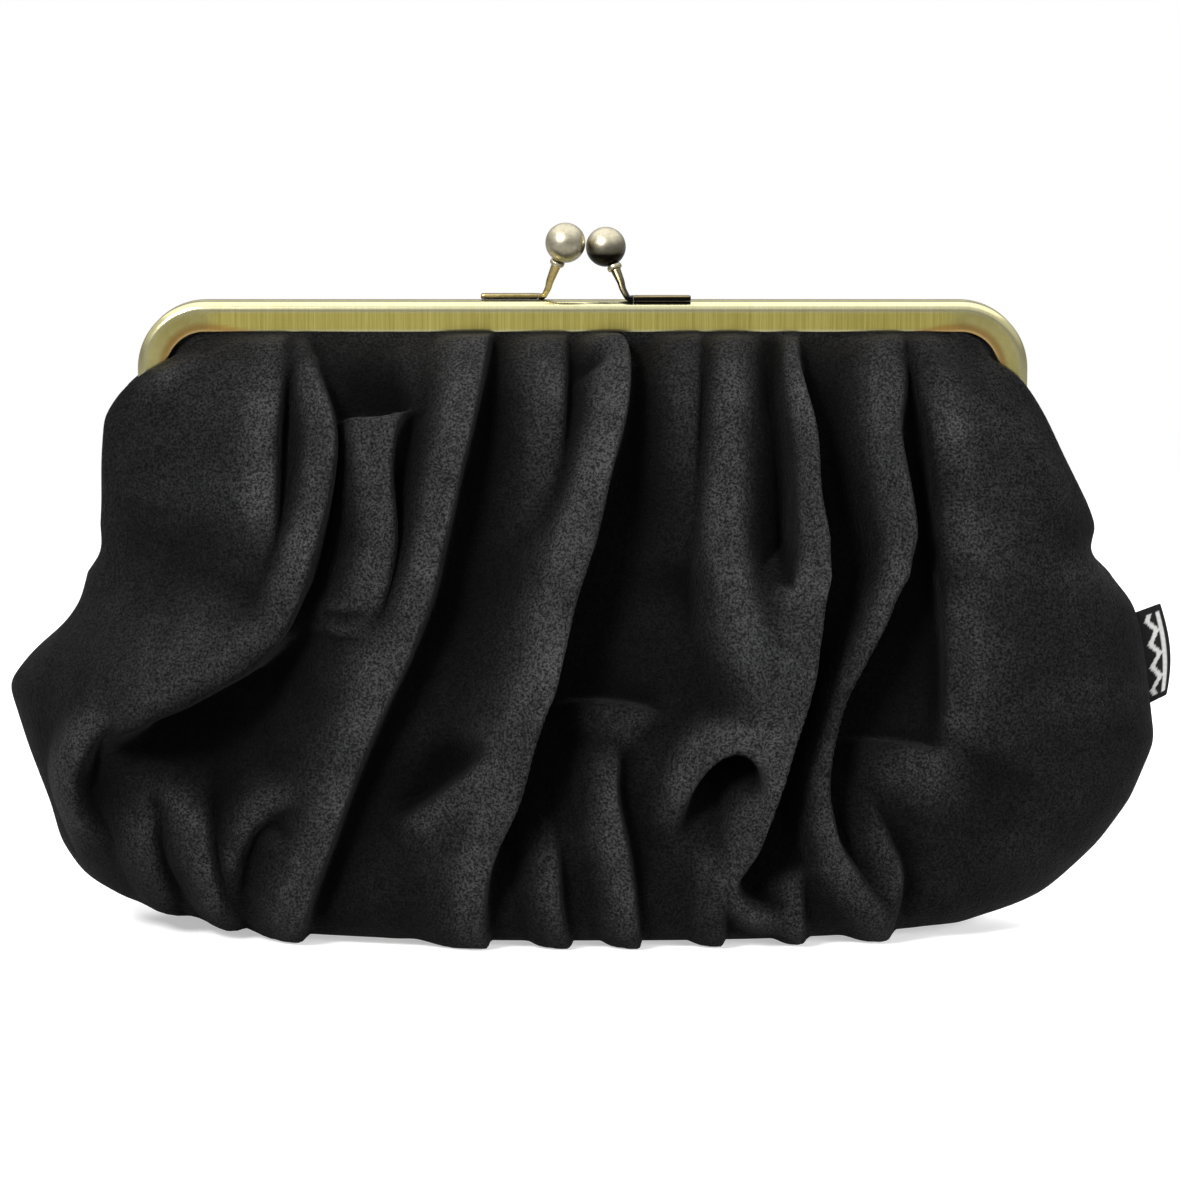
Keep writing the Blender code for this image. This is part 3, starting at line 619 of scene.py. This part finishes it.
def brass_material(name, dark, light, roughness, painted_dark_below=None):
    """Plain antique brass, with faint stains and specks. Below a given height it is painted nearly black, a
    painted dark reflection and shade.
    """
    nodes = Nodes(name)
    stains = nodes.noise(nodes.place(), 130, 4.0, 0.65)
    specks = nodes.noise(nodes.place(), 1400, 3.0, 0.7)
    tone = nodes.math("ADD", nodes.math("MULTIPLY", stains, 0.7), nodes.math("MULTIPLY", specks, 0.3))
    colour = nodes.ramp(tone, (0.36, dark), (0.6, light))
    # Painted dark reflection and shade: nearly black below the given height, the plain colour above it.
    if painted_dark_below:
        height = nodes.add("SeparateXYZ", {0: nodes.place()}).outputs["Z"]
        low, high = (at * MM for at in painted_dark_below)
        above_painted_dark = nodes.add("MapRange", {"Value": height, "From Min": low, "From Max": high}).outputs["Result"]
        colour = nodes.mix(above_painted_dark, PAINTED_DARK_REFLECTION, colour)
    rough = nodes.math("ADD", roughness, nodes.math("MULTIPLY", tone, 0.12))
    dents = nodes.bump(specks, 0.00001, 0.5)
    return nodes.finish(Base_Color=colour, Metallic=1.0, Roughness=rough, Normal=dents)


def frame_material():
    """Brushed antique brass: fine lines across the rail's face, polished smooth by use and painted pale as
    a highlight on the shoulder and along the lower outer edge, plain in the corners and down the arms,
    and browned near the corners' inner edge."""
    nodes = Nodes("brushed_frame_brass")
    lines = nodes.noise(nodes.place((1, 0.25, 0.012)), 2300, 4.0, 0.85)
    bands = nodes.noise(nodes.place((1, 0.4, 0.05)), 300, 2.0, 0.6)
    stains = nodes.noise(nodes.place(), 130, 4.0, 0.65)
    plain, wear_and_highlight, brown = (nodes.add("Attribute", attribute_name=name).outputs["Fac"]
                          for name in ("plain", "wear_and_highlight", "brown"))
    strokes = nodes.math("ADD", nodes.math("MULTIPLY", lines, 0.8), nodes.math("MULTIPLY", bands, 0.2))
    brushed = nodes.ramp(strokes, (0.34, (0.42, 0.35, 0.085)), (0.5, (0.59, 0.51, 0.135)),
                         (0.66, (0.73, 0.65, 0.2)))
    smooth = nodes.ramp(stains, (0.35, (0.62, 0.54, 0.19)), (0.65, (0.78, 0.70, 0.29)))
    colour = nodes.mix(plain, brushed, smooth)
    # Polished by use and painted pale as a highlight: the shoulder and the lower edge get this paler colour.
    wear_and_highlight_colour = nodes.ramp(strokes, (0.3, (0.67, 0.63, 0.34)), (0.6, (0.77, 0.74, 0.47)))
    colour = nodes.mix(wear_and_highlight, colour, wear_and_highlight_colour)
    colour = nodes.mix(nodes.math("MULTIPLY", brown, 0.65), colour, (0.50, 0.24, 0.055))
    cut = nodes.math("MULTIPLY", nodes.math("SUBTRACT", 1.0, plain), nodes.math("SUBTRACT", 1.0, wear_and_highlight))
    rough = nodes.math("ADD", 0.2, nodes.math("MULTIPLY", cut, 0.16))
    rough = nodes.math("ADD", rough, nodes.math("MULTIPLY", stains, 0.06))
    depth = nodes.math("MULTIPLY", lines, cut)
    scratches = nodes.bump(depth, 0.00005, 0.5)
    return nodes.finish(Base_Color=colour, Metallic=1.0, Roughness=rough, Normal=scratches)


def paper_material():
    """Twisted kraft paper cord."""
    nodes = Nodes("kraft_paper_cord")
    twist = nodes.add("TexWave", {"Vector": nodes.place((1, 1, 1)), "Scale": 380.0,
                                  "Distortion": 1.5}, bands_direction="DIAGONAL").outputs["Fac"]
    fibres = nodes.noise(nodes.place(), 1800, 4.0)
    colour = nodes.ramp(fibres, (0.3, (0.42, 0.31, 0.19)), (0.7, (0.66, 0.52, 0.36)))
    nap = nodes.bump(twist, 0.0003, 0.8)
    return nodes.finish(Base_Color=colour, Roughness=0.85, Normal=nap)


def tape_material():
    """Black woven tape with a pale zigzag and stripe, in place of any lettering."""
    nodes = Nodes("woven_label_tape")
    weave = nodes.add("TexWave", {"Vector": nodes.place((0, 0, 1)), "Scale": 1100.0},
                      bands_direction="Z").outputs["Fac"]
    warp = nodes.add("TexWave", {"Vector": nodes.place((1, 0, 0)), "Scale": 1400.0},
                     bands_direction="X").outputs["Fac"]
    stripe = nodes.add("Attribute", attribute_name="stripe").outputs["Fac"]
    black = nodes.ramp(weave, (0.2, (0.006, 0.006, 0.006)), (0.8, (0.016, 0.016, 0.017)))
    pale = nodes.ramp(weave, (0.2, (0.35, 0.35, 0.34)), (0.8, (0.7, 0.7, 0.68)))
    colour = nodes.mix(stripe, black, pale)
    nap = nodes.bump(nodes.math("ADD", weave, warp), 0.0001, 0.7)
    return nodes.finish(Base_Color=colour, Roughness=0.75, Normal=nap, Specular_IOR_Level=0.1,
                        Sheen_Weight=0.02)


def arc(a, b, radius, start, end, steps):
    """Points (a, b) on an arc, with its angles in degrees and both ends included."""
    turns = np.radians(np.linspace(start, end, steps + 1))
    return [(a + radius * math.cos(turn), b + radius * math.sin(turn)) for turn in turns]


def loft(rings, closed=False):
    """Points and faces through rings of points, with a flat face at each end or closed on itself."""
    rings = np.array(rings, float)
    index = np.arange(rings.shape[0] * rings.shape[1]).reshape(rings.shape[:2])
    rows = np.concatenate([index, index[:1]]) if closed else index
    after = np.roll(rows, -1, axis=1)
    faces = np.stack([rows[:-1], after[:-1], after[1:], rows[1:]], axis=2).reshape(-1, 4).tolist()
    if not closed:
        faces += [index[0].tolist(), index[-1].tolist()]
    return rings.reshape(-1, 3), faces


def turned(profile, origin, axis, steps=40):
    """A solid of revolution. The profile is (radius, distance along the axis) from end to end."""
    axis = Vector(axis).normalized()
    across = axis.orthogonal().normalized()
    other = axis.cross(across)
    turns = [2 * math.pi * i / steps for i in range(steps)]
    spokes = np.array([across * math.cos(turn) + other * math.sin(turn) for turn in turns])
    return loft([np.array(origin) + np.array(axis) * distance + spokes * radius
                 for radius, distance in profile])


def add_solid(name, shells, material, body, node):
    """One mesh of closed shells, smooth but for its sharp edges, which stands for a CAD node."""
    shape = bmesh.new()
    for points, faces in shells:
        made = [shape.verts.new(Vector(point) * MM) for point in points]
        for face in faces:
            shape.faces.new([made[i] for i in face])
    bmesh.ops.recalc_face_normals(shape, faces=shape.faces)
    mesh = bpy.data.meshes.new(name)
    shape.to_mesh(mesh)
    shape.free()
    mesh.shade_smooth()
    mesh.set_sharp_from_angle(angle=math.radians(SHARP_ANGLE))
    mesh.materials.append(material)
    obj = bpy.data.objects.new(name, mesh)
    bpy.context.scene.collection.objects.link(obj)
    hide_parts(node)
    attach(obj, body)
    return obj


def frame_stations(end, spacing=2.0):
    """(x, z, outward x, outward z) along the frame's inner edge, from the left arm's end round."""
    inner = CORNER_RADIUS - CHANNEL_HEIGHT
    x, z = FRAME_HALF_WIDTH - CORNER_RADIUS, RAIL_TOP - CORNER_RADIUS
    arm = [(-x - inner, at, -1, 0) for at in np.linspace(end, z - 0.4, int((z - end) / spacing))]
    corner = [(-x + inner * a, z + inner * b, a, b) for a, b in arc(0, 0, 1, 180, 90, 24)]
    rail = [(at, z + inner, 0, 1) for at in np.linspace(-x + 0.4, x - 0.4, int(2 * x / spacing))]
    left = arm + corner
    right = [(-at, up, -a, b) for at, up, a, b in left[::-1]]
    return np.array(left + rail + right, float)


def frame_rings(stations, section, facing):
    """The section, as (depth, height from the inner edge) points, at each station of the frame."""
    depth, height = np.array(section, float).T
    x, z, out_x, out_z = (column[:, None] for column in stations.T)
    y = np.broadcast_to(facing * depth, (len(stations), len(depth)))
    return np.stack([x + out_x * height, y, z + out_z * height], axis=2)


def channel_section():
    """The bent sheet's section, as (depth from the closing plane, height from its open edge)."""
    face = [(4.6, height) for height in np.linspace(0.3, 4.7, 9)]
    shoulder = arc(2.6, 4.9, 2.0, 0, 90, 14)
    back = [(2.3, 6.9), (0.7, 6.9), *arc(0.44, 6.5, 0.4, 90, 180, 4), (0.04, 6.2), (0.04, 0.2), (0.15, 0.0)]
    inside = [(0.8, 0.0), (0.9, 0.1), (0.9, 6.0), (1.1, 6.2), (2.4, 6.2), *arc(2.6, 4.9, 1.3, 90, 0, 8)]
    return face + shoulder + back + inside + [(3.9, 4.6), (3.9, 0.15), (4.0, 0.0), (4.3, 0.0), (4.51, 0.09)]


def ear_shell(facing, side, outer):
    """The round ear at the arm's end, with the rivet's hole and a neck up into the channel."""
    rim = arc(0, 0, 3.2, 30, -205, 30) + [(0.7, 3.2), (0.7, 9.0), (4.0, 9.0), (4.0, 3.0)]
    hole = arc(0, 0, 1.3, 30, -205, 30) + arc(0, 0, 1.3, 125, 50, 3)
    rings = []
    for (a, b), (c, d) in zip(rim, hole):
        edge = [(outer - 0.85, 1), (outer - 0.15, 1), (outer, 0.95)]
        ring = [(side * x, facing * a * share, HINGE_Z + b * share) for x, share in edge]
        ring += [(side * x, facing * c, HINGE_Z + d) for x in (outer, outer - 1.0)]
        rings.append(ring + [(side * (outer - 1.0), facing * a * 0.95, HINGE_Z + b * 0.95)])
    return loft(rings, closed=True)


def joggle_shell(facing, side):
    """The step in the channel that carries the back frame's inner ear."""
    outline = [(0.95, 95.1), (0.95, 99.0), (3.85, 99.0), (3.85, 95.1)]
    return loft([[(side * x, facing * y, z) for y, z in outline] for x in (100.2, 102.2)])


def add_frame(word, facing, material):
    """One half of the kiss-lock frame, with marks for where it is plain, where it is polished by use and painted
    pale as a highlight, and where it is browned.
    """
    stations, section = frame_stations(CHANNEL_END), channel_section()
    shells = [loft(frame_rings(stations, section, facing))]
    outer = FRAME_HALF_WIDTH - (0.05 if facing == FRONT else 1.3)
    for side in (-1, 1):
        shells.append(ear_shell(facing, side, outer))
        if facing == BACK:
            shells.append(joggle_shell(facing, side))
    frame_piece = add_solid(f"{word}_frame_brass", shells, material, f"{word}_half",
                            f"{word}_frame")
    depth, height = np.array(section).T
    x, z = np.abs(stations[:, 0, None]), stations[:, 1, None]
    plain = np.maximum(smoothstep((x - 83) / 5), depth < 2.0)
    # Polished by use and painted pale as a highlight: the shoulder and top, and the outer face's lower edge.
    wear_and_highlight = smoothstep((height - 4.3) / 0.8) * (depth > 0.5) * (1 - 0.3 * smoothstep((x - 88) / 5))
    wear_and_highlight = np.maximum(wear_and_highlight, (height < 0.35) * (depth > 4.2) * 0.7)
    reach = 2.4 * smoothstep((x - 70) / 17) * smoothstep((z - 122) / 10)
    brown = smoothstep((reach - height) / 0.9) * (depth > 4.0)
    count = len(frame_piece.data.vertices)
    for name, marks, rest in (("plain", plain, 1), ("wear_and_highlight", wear_and_highlight, 0), ("brown", brown, 0)):
        values = np.full(count, rest, np.float32)
        values[: marks.size] = marks.ravel()
        frame_piece.data.attributes.new(name, "FLOAT", "POINT").data.foreach_set("value", values)


def add_rivet(word, side, material):
    """A rivet with a domed outer head and a flat inner one."""
    flat = [(1.3, -3.6), *arc(1.9, -3.3, 0.3, -90, 0, 4), (2.2, -2.6)]
    dome = [(2.3 * a, 0.3 + 1.0 * b) for a, b in arc(0, 0, 1, 0, 86, 12)]
    shell = turned(flat + [(1.2, -2.6), (1.2, 0.3)] + dome, (side * FRAME_HALF_WIDTH, 0, HINGE_Z), (side, 0, 0))
    add_solid(f"{word}_rivet", [shell], material, "bag", f"{word}_hinge_rivet")


def rounded_section(width, thickness, radius):
    """A rectangle with round corners, as (across, through) points."""
    w, t = width / 2 - radius, thickness / 2 - radius
    corners = ((w, t, 0), (-w, t, 90), (-w, -t, 180), (w, -t, 270))
    return [point for a, b, turn in corners for point in arc(a, b, radius, turn, turn + 90, 4)]


def foot_shell(along, root):
    """The flat strip on the rail, with its far end rounded off."""
    rings = []
    for distance, trim in ((0.06, 0.05), (0.2, 0.0), (12.2, 0.0), (12.9, 0.05), (13.1, 0.16), (13.2, 0.32)):
        section = rounded_section(3.8 - 2 * trim, 1.1 - trim, 0.25)
        rings.append([root + along * distance + Vector((0, a, b)) for a, b in section])
    return loft(rings)


def post_shell(along, root, bend, up, top):
    """The strip's bent end, which narrows and thickens on its way to the collar."""
    middle = root.lerp(bend, 0.6) - along * 0.728
    stations = [(*root, 0.0), (*(root - along * 1.17), 0.1), (*middle, 0.3), (*bend, 0.5), (*top, 1.0)]
    path = smoothed_path(stations, 0.35)
    steps = np.gradient(path[:, :3], axis=0)
    steps[0], steps[-1] = -np.array(along), np.array(up)
    rings = []
    for (x, y, z, share), step in zip(path, steps):
        through = Vector(step).cross(Vector((0, 1, 0))).normalized()
        across = through.cross(Vector(step)).normalized()
        section = rounded_section(3.8 - 1.5 * share, 1.1 + 1.2 * share, 0.25 + 0.75 * share)
        rings.append([Vector((x, y, z)) + across * a + through * b for a, b in section])
    return loft(rings)


def add_latch(word, facing, materials):
    """One half of the kiss lock: a foot on the rail, and the bent post with its collar and ball."""
    out = -facing
    along = Vector((out, 0, 0))
    ball = Vector((0.7 + out * 4.65, -facing * 1.6, 159.2 if facing == FRONT else 160.4))
    root = Vector((ball.x + out * 6.3, facing * 2.4, 147.75))
    bend = root + (ball - root).normalized() * 4.16 - along * 0.91
    up = (ball - bend).normalized()
    base = ball - up * 5.9
    bead = [*arc(1.3, 0.45, 0.4, -90, 0, 5), *arc(1.3, 0.85, 0.4, 0, 90, 5), (1.15, 1.3)]
    sphere = arc(0, 0, 4.6, -86, 86, 36)
    half, post = f"{word}_half", f"{word}_post"
    add_solid(f"{word}_foot", [foot_shell(along, root)], materials["foot"], half,
              f"{word}_latch_foot")
    for part, shell, slot in (("post", post_shell(along, root, bend, up, base), "latch_brass"),
                              ("collar", turned(bead, base, up), "latch_brass"),
                              ("ball", turned(sphere, ball, up, 64), "ball_brass")):
        add_solid(f"{word}_{part}", [shell], materials[part], post, f"{word}_latch_{part}")


def add_cord(word, facing, material):
    """The paper cord in the channel, of two twisted strands."""
    stations = frame_stations(CHANNEL_END + 5.5, 0.8)
    way = along(stations[:, :2])
    rings = []
    for station, distance in zip(stations, way):
        twist = 2 * math.pi * distance / CORD_PITCH
        section = []
        for angle in np.linspace(0, 2 * math.pi, 17)[:-1]:
            radius = 0.62 + 0.18 * abs(math.cos(angle - twist))
            section.append((2.4 + radius * math.cos(angle), 5.0 + radius * math.sin(angle)))
        rings.append(frame_rings(station[None], section, facing)[0])
    add_solid(f"{word}_cord", [loft(rings)], material, f"{word}_half", f"{word}_paper_cord")


def add_metal():
    """Both frame halves, latches, paper cords and rivets."""
    frame_brass, paper = frame_material(), paper_material()
    rivet = brass_material("rivet_brass", (0.30, 0.25, 0.1), (0.55, 0.48, 0.22), 0.28)
    ball = (0.36, 0.32, 0.22), (0.66, 0.61, 0.46), 0.3
    gold = (0.34, 0.25, 0.08), (0.72, 0.58, 0.24)
    # Painted shade: a darker copy of the latch brass colours, used for the front post only.
    shaded_post_colours = (0.05, 0.04, 0.02), (0.30, 0.26, 0.14)
    collar = brass_material("collar_brass", *ball)
    # Each latch part is painted nearly black below the given heights, as painted dark reflection and shade: the
    # balls' lower parts show the dark bag below.
    back_latch = brass_material("back_latch_brass", *gold, 0.2, (147.5, 147.9))
    latches = {
        "front": {"foot": brass_material("front_foot_brass", *gold, 0.25, (148.15, 148.35)),
                  "post": brass_material("front_post_brass", *shaded_post_colours, 0.22, (148.2, 155.0)),
                  "collar": collar,
                  "ball": brass_material("front_ball_brass", *ball, (157.6, 161.0))},
        "back": {"foot": back_latch, "post": back_latch, "collar": collar,
                 "ball": brass_material("back_ball_brass", *ball, (150.0, 159.0))},
    }
    for word, facing in (("front", FRONT), ("back", BACK)):
        add_frame(word, facing, frame_brass)
        add_latch(word, facing, latches[word])
        add_cord(word, facing, paper)
    for word, side in (("left", -1), ("right", 1)):
        add_rivet(word, side, rivet)


def add_side(word, facing, folds, seed, spacing, materials):
    """One side's three layers. Inner layers follow the folds less and less."""
    layers = (
        ("outer", "outer_cloth", spacing, 0.0, (0.33, 0.175)),
        ("interlining", "interlining", INNER_SPACING, 2.0, (0.32, 0.17)),
        ("lining", "lining", INNER_SPACING, 3.3, (0.31, 0.165)),
    )
    for layer, slot, step, inset, flat in layers:
        grid = panel_grid(step)
        relief, shift, painted_fold_shading = main_relief(grid, folds, seed)
        if inset:
            relief, shift = lowest_around(relief, 4), 0 * shift
        points = panel_points(grid, relief, shift, inset)
        piece = add_panel(f"{layer}_{word}", points, relief, painted_fold_shading, facing, materials[layer])
        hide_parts(f"{layer}_{word}_lower", f"{layer}_{word}_top")
        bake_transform(piece)


def add_camera():
    """The photograph's view: straight on, a little from above."""
    target = Vector((0.0017, 0, 0.0793))
    elevation = math.radians(9.5)
    camera = bpy.data.objects.new("camera", bpy.data.cameras.new("camera"))
    camera.data.lens = 130.9
    camera.data.sensor_width = 36
    back = Vector((0, -math.cos(elevation), math.sin(elevation)))
    camera.location = target + back * 1.0
    camera.rotation_euler = (-back).to_track_quat("-Z", "Y").to_euler()
    bpy.context.scene.collection.objects.link(camera)
    bpy.context.scene.camera = camera


def add_area_light(name, place, target, size, power, mirrored=True):
    """A rectangular light. The metal shows its shape only if it is mirrored."""
    light = bpy.data.lights.new(name, "AREA")
    light.shape = "RECTANGLE"
    light.size, light.size_y = size
    light.energy = power
    obj = bpy.data.objects.new(name, light)
    obj.location = place
    aim = Vector(target) - Vector(place)
    obj.rotation_euler = aim.to_track_quat("-Z", "Y").to_euler()
    obj.visible_glossy = mirrored
    bpy.context.scene.collection.objects.link(obj)


def add_world():
    """A white surround for the camera, a studio gradient for reflections, and little soft light."""
    world = bpy.data.worlds.new("studio")
    bpy.context.scene.world = world
    world.use_nodes = True
    tree = world.node_tree
    path = tree.nodes.new("ShaderNodeLightPath")
    place = tree.nodes.new("ShaderNodeTexCoord")
    upward = tree.nodes.new("ShaderNodeSeparateXYZ")
    tree.links.new(place.outputs["Generated"], upward.inputs[0])
    height = tree.nodes.new("ShaderNodeMapRange")
    height.inputs["From Min"].default_value = -1.0
    tree.links.new(upward.outputs["Z"], height.inputs["Value"])
    ramp = tree.nodes.new("ShaderNodeValToRGB")
    tree.links.new(height.outputs["Result"], ramp.inputs["Fac"])
    for _ in STUDIO_TONES[2:]:
        ramp.color_ramp.elements.new(0.5)
    for element, (at, tone) in zip(ramp.color_ramp.elements, STUDIO_TONES):
        element.position = (at + 1) / 2
        element.color = (tone, tone, tone, 1)
    white, mirrored, soft = (tree.nodes.new("ShaderNodeBackground") for _ in range(3))
    tree.links.new(ramp.outputs["Color"], mirrored.inputs["Color"])
    white.inputs["Color"].default_value = (1, 1, 1, 1)
    soft.inputs["Color"].default_value = (1, 1, 1, 1)
    soft.inputs["Strength"].default_value = SOFT_LIGHT
    unlit = tree.nodes.new("ShaderNodeMixShader")
    tree.links.new(path.outputs["Is Diffuse Ray"], unlit.inputs[0])
    tree.links.new(mirrored.outputs[0], unlit.inputs[1])
    tree.links.new(soft.outputs[0], unlit.inputs[2])
    mix = tree.nodes.new("ShaderNodeMixShader")
    tree.links.new(path.outputs["Is Camera Ray"], mix.inputs[0])
    tree.links.new(unlit.outputs[0], mix.inputs[1])
    tree.links.new(white.outputs[0], mix.inputs[2])
    tree.links.new(mix.outputs[0], tree.nodes["World Output"].inputs["Surface"])


def add_floor():
    """A plain white disc that fades into the surround. It throws little light back on the object."""
    radius = 1.6
    mesh = bpy.data.meshes.new("floor")
    ring = [(radius * math.cos(a), radius * math.sin(a), 0) for a in
            (2 * math.pi * i / 96 for i in range(96))]
    mesh.from_pydata(ring, [], [tuple(range(96))])
    nodes = Nodes("white_floor")
    distance = nodes.add("VectorMath", {0: nodes.place()}, operation="LENGTH").outputs["Value"]
    fade = nodes.ramp(nodes.math("DIVIDE", distance, radius), (0.2, (0, 0, 0)), (0.5, (1, 1, 1)))
    clear = nodes.add("BsdfTransparent").outputs[0]
    rays = nodes.add("LightPath").outputs
    seen = rays["Is Camera Ray"]
    bounce = nodes.mix(rays["Is Diffuse Ray"], (0.4, 0.4, 0.4), (0.25, 0.25, 0.25))
    white = nodes.mix(seen, bounce, (0.8, 0.8, 0.8))
    nodes.finish(Base_Color=white, Roughness=0.7, Specular_IOR_Level=0.0,
                 Emission_Color=(1, 1, 1, 1), Emission_Strength=nodes.math("MULTIPLY", seen, 0.45))
    mix = nodes.add("MixShader", {0: fade, 1: nodes.shader.outputs[0], 2: clear})
    nodes.put(nodes.tree.nodes["Material Output"].inputs["Surface"], mix.outputs[0])
    mesh.materials.append(nodes.material)
    floor = bpy.data.objects.new("floor", mesh)
    bpy.context.scene.collection.objects.link(floor)


def add_studio():
    add_world()
    add_floor()
    middle = (0, 0, 0.07)
    add_area_light("key", (-0.65, -1.0, 0.95), middle, (0.35, 0.35), 21)
    add_area_light("fill", (1.1, -1.1, 0.45), middle, (0.8, 0.8), 27, mirrored=False)
    add_area_light("top", (0.0, 0.2, 1.3), middle, (2.6, 2.0), 13)
    add_area_light("back", (0.6, 1.3, 0.8), middle, (0.8, 0.8), 24, mirrored=False)
    bpy.context.scene.view_settings.view_transform = "Standard"


def add_label(material):
    """The folded tape in the right-hand side seam."""
    low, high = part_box("side_label")
    rows, columns = 70, 51
    vertices, stripe = [], []
    for r in range(rows):
        t = r / (rows - 1)
        inner = 129.6 - 2.4 * t
        outer = 134.9 + 2.9 * math.sin(math.pi * (0.2 + 0.72 * t)) - 0.9 * t
        lean = 0.9 * math.sin(math.pi * 0.8 * t) - 0.4
        for c in range(columns):
            turn = 2 * c / (columns - 1) - 1
            out = 1 - abs(turn) ** 1.15
            x = inner + (outer - inner) * out
            y = 0.42 * math.copysign(min(1.0, abs(turn) * 5) ** 0.5, turn) + lean * out**2
            z = low.z / MM - 2.5 + t * (high.z - low.z - 2.2 * MM) / MM + (3.6 - 0.8 * t) * out
            vertices.append((x * MM, y * MM, z * MM))
            zigzag = abs(out - 0.5 - 0.22 * abs(8 * t % 2 - 1)) < 0.07
            stripe.append(float((zigzag or abs(out - 0.84) < 0.04) and 0.06 < t < 0.94))
    index = np.arange(rows * columns).reshape(rows, columns)
    quads = np.stack([index[:-1, :-1], index[:-1, 1:], index[1:, 1:], index[1:, :-1]], axis=2)
    mesh = bpy.data.meshes.new("side_label_tape")
    mesh.from_pydata(vertices, [], quads.reshape(-1, 4).tolist())
    mesh.shade_smooth()
    mesh.attributes.new("stripe", "FLOAT", "POINT").data.foreach_set("value", stripe)
    mesh.materials.append(material)
    label = bpy.data.objects.new("side_label_tape", mesh)
    bpy.context.scene.collection.objects.link(label)
    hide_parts("side_label")
    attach(label, "bag")


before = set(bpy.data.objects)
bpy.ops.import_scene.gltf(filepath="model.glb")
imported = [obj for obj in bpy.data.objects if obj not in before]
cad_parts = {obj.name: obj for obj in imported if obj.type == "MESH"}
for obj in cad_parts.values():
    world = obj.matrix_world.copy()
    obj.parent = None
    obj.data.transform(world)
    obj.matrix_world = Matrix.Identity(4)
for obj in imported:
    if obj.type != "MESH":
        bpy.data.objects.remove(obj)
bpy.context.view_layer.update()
add_metal()
cloths = {"outer": velvet_material(), "interlining": fleece_material(), "lining": lining_material()}
add_side("front", FRONT, FRONT_FOLDS, 1.0, OUTER_SPACING, cloths)
add_side("back", BACK, BACK_FOLDS, 5.0, BACK_SPACING, cloths)
add_label(tape_material())
add_camera()
add_studio()
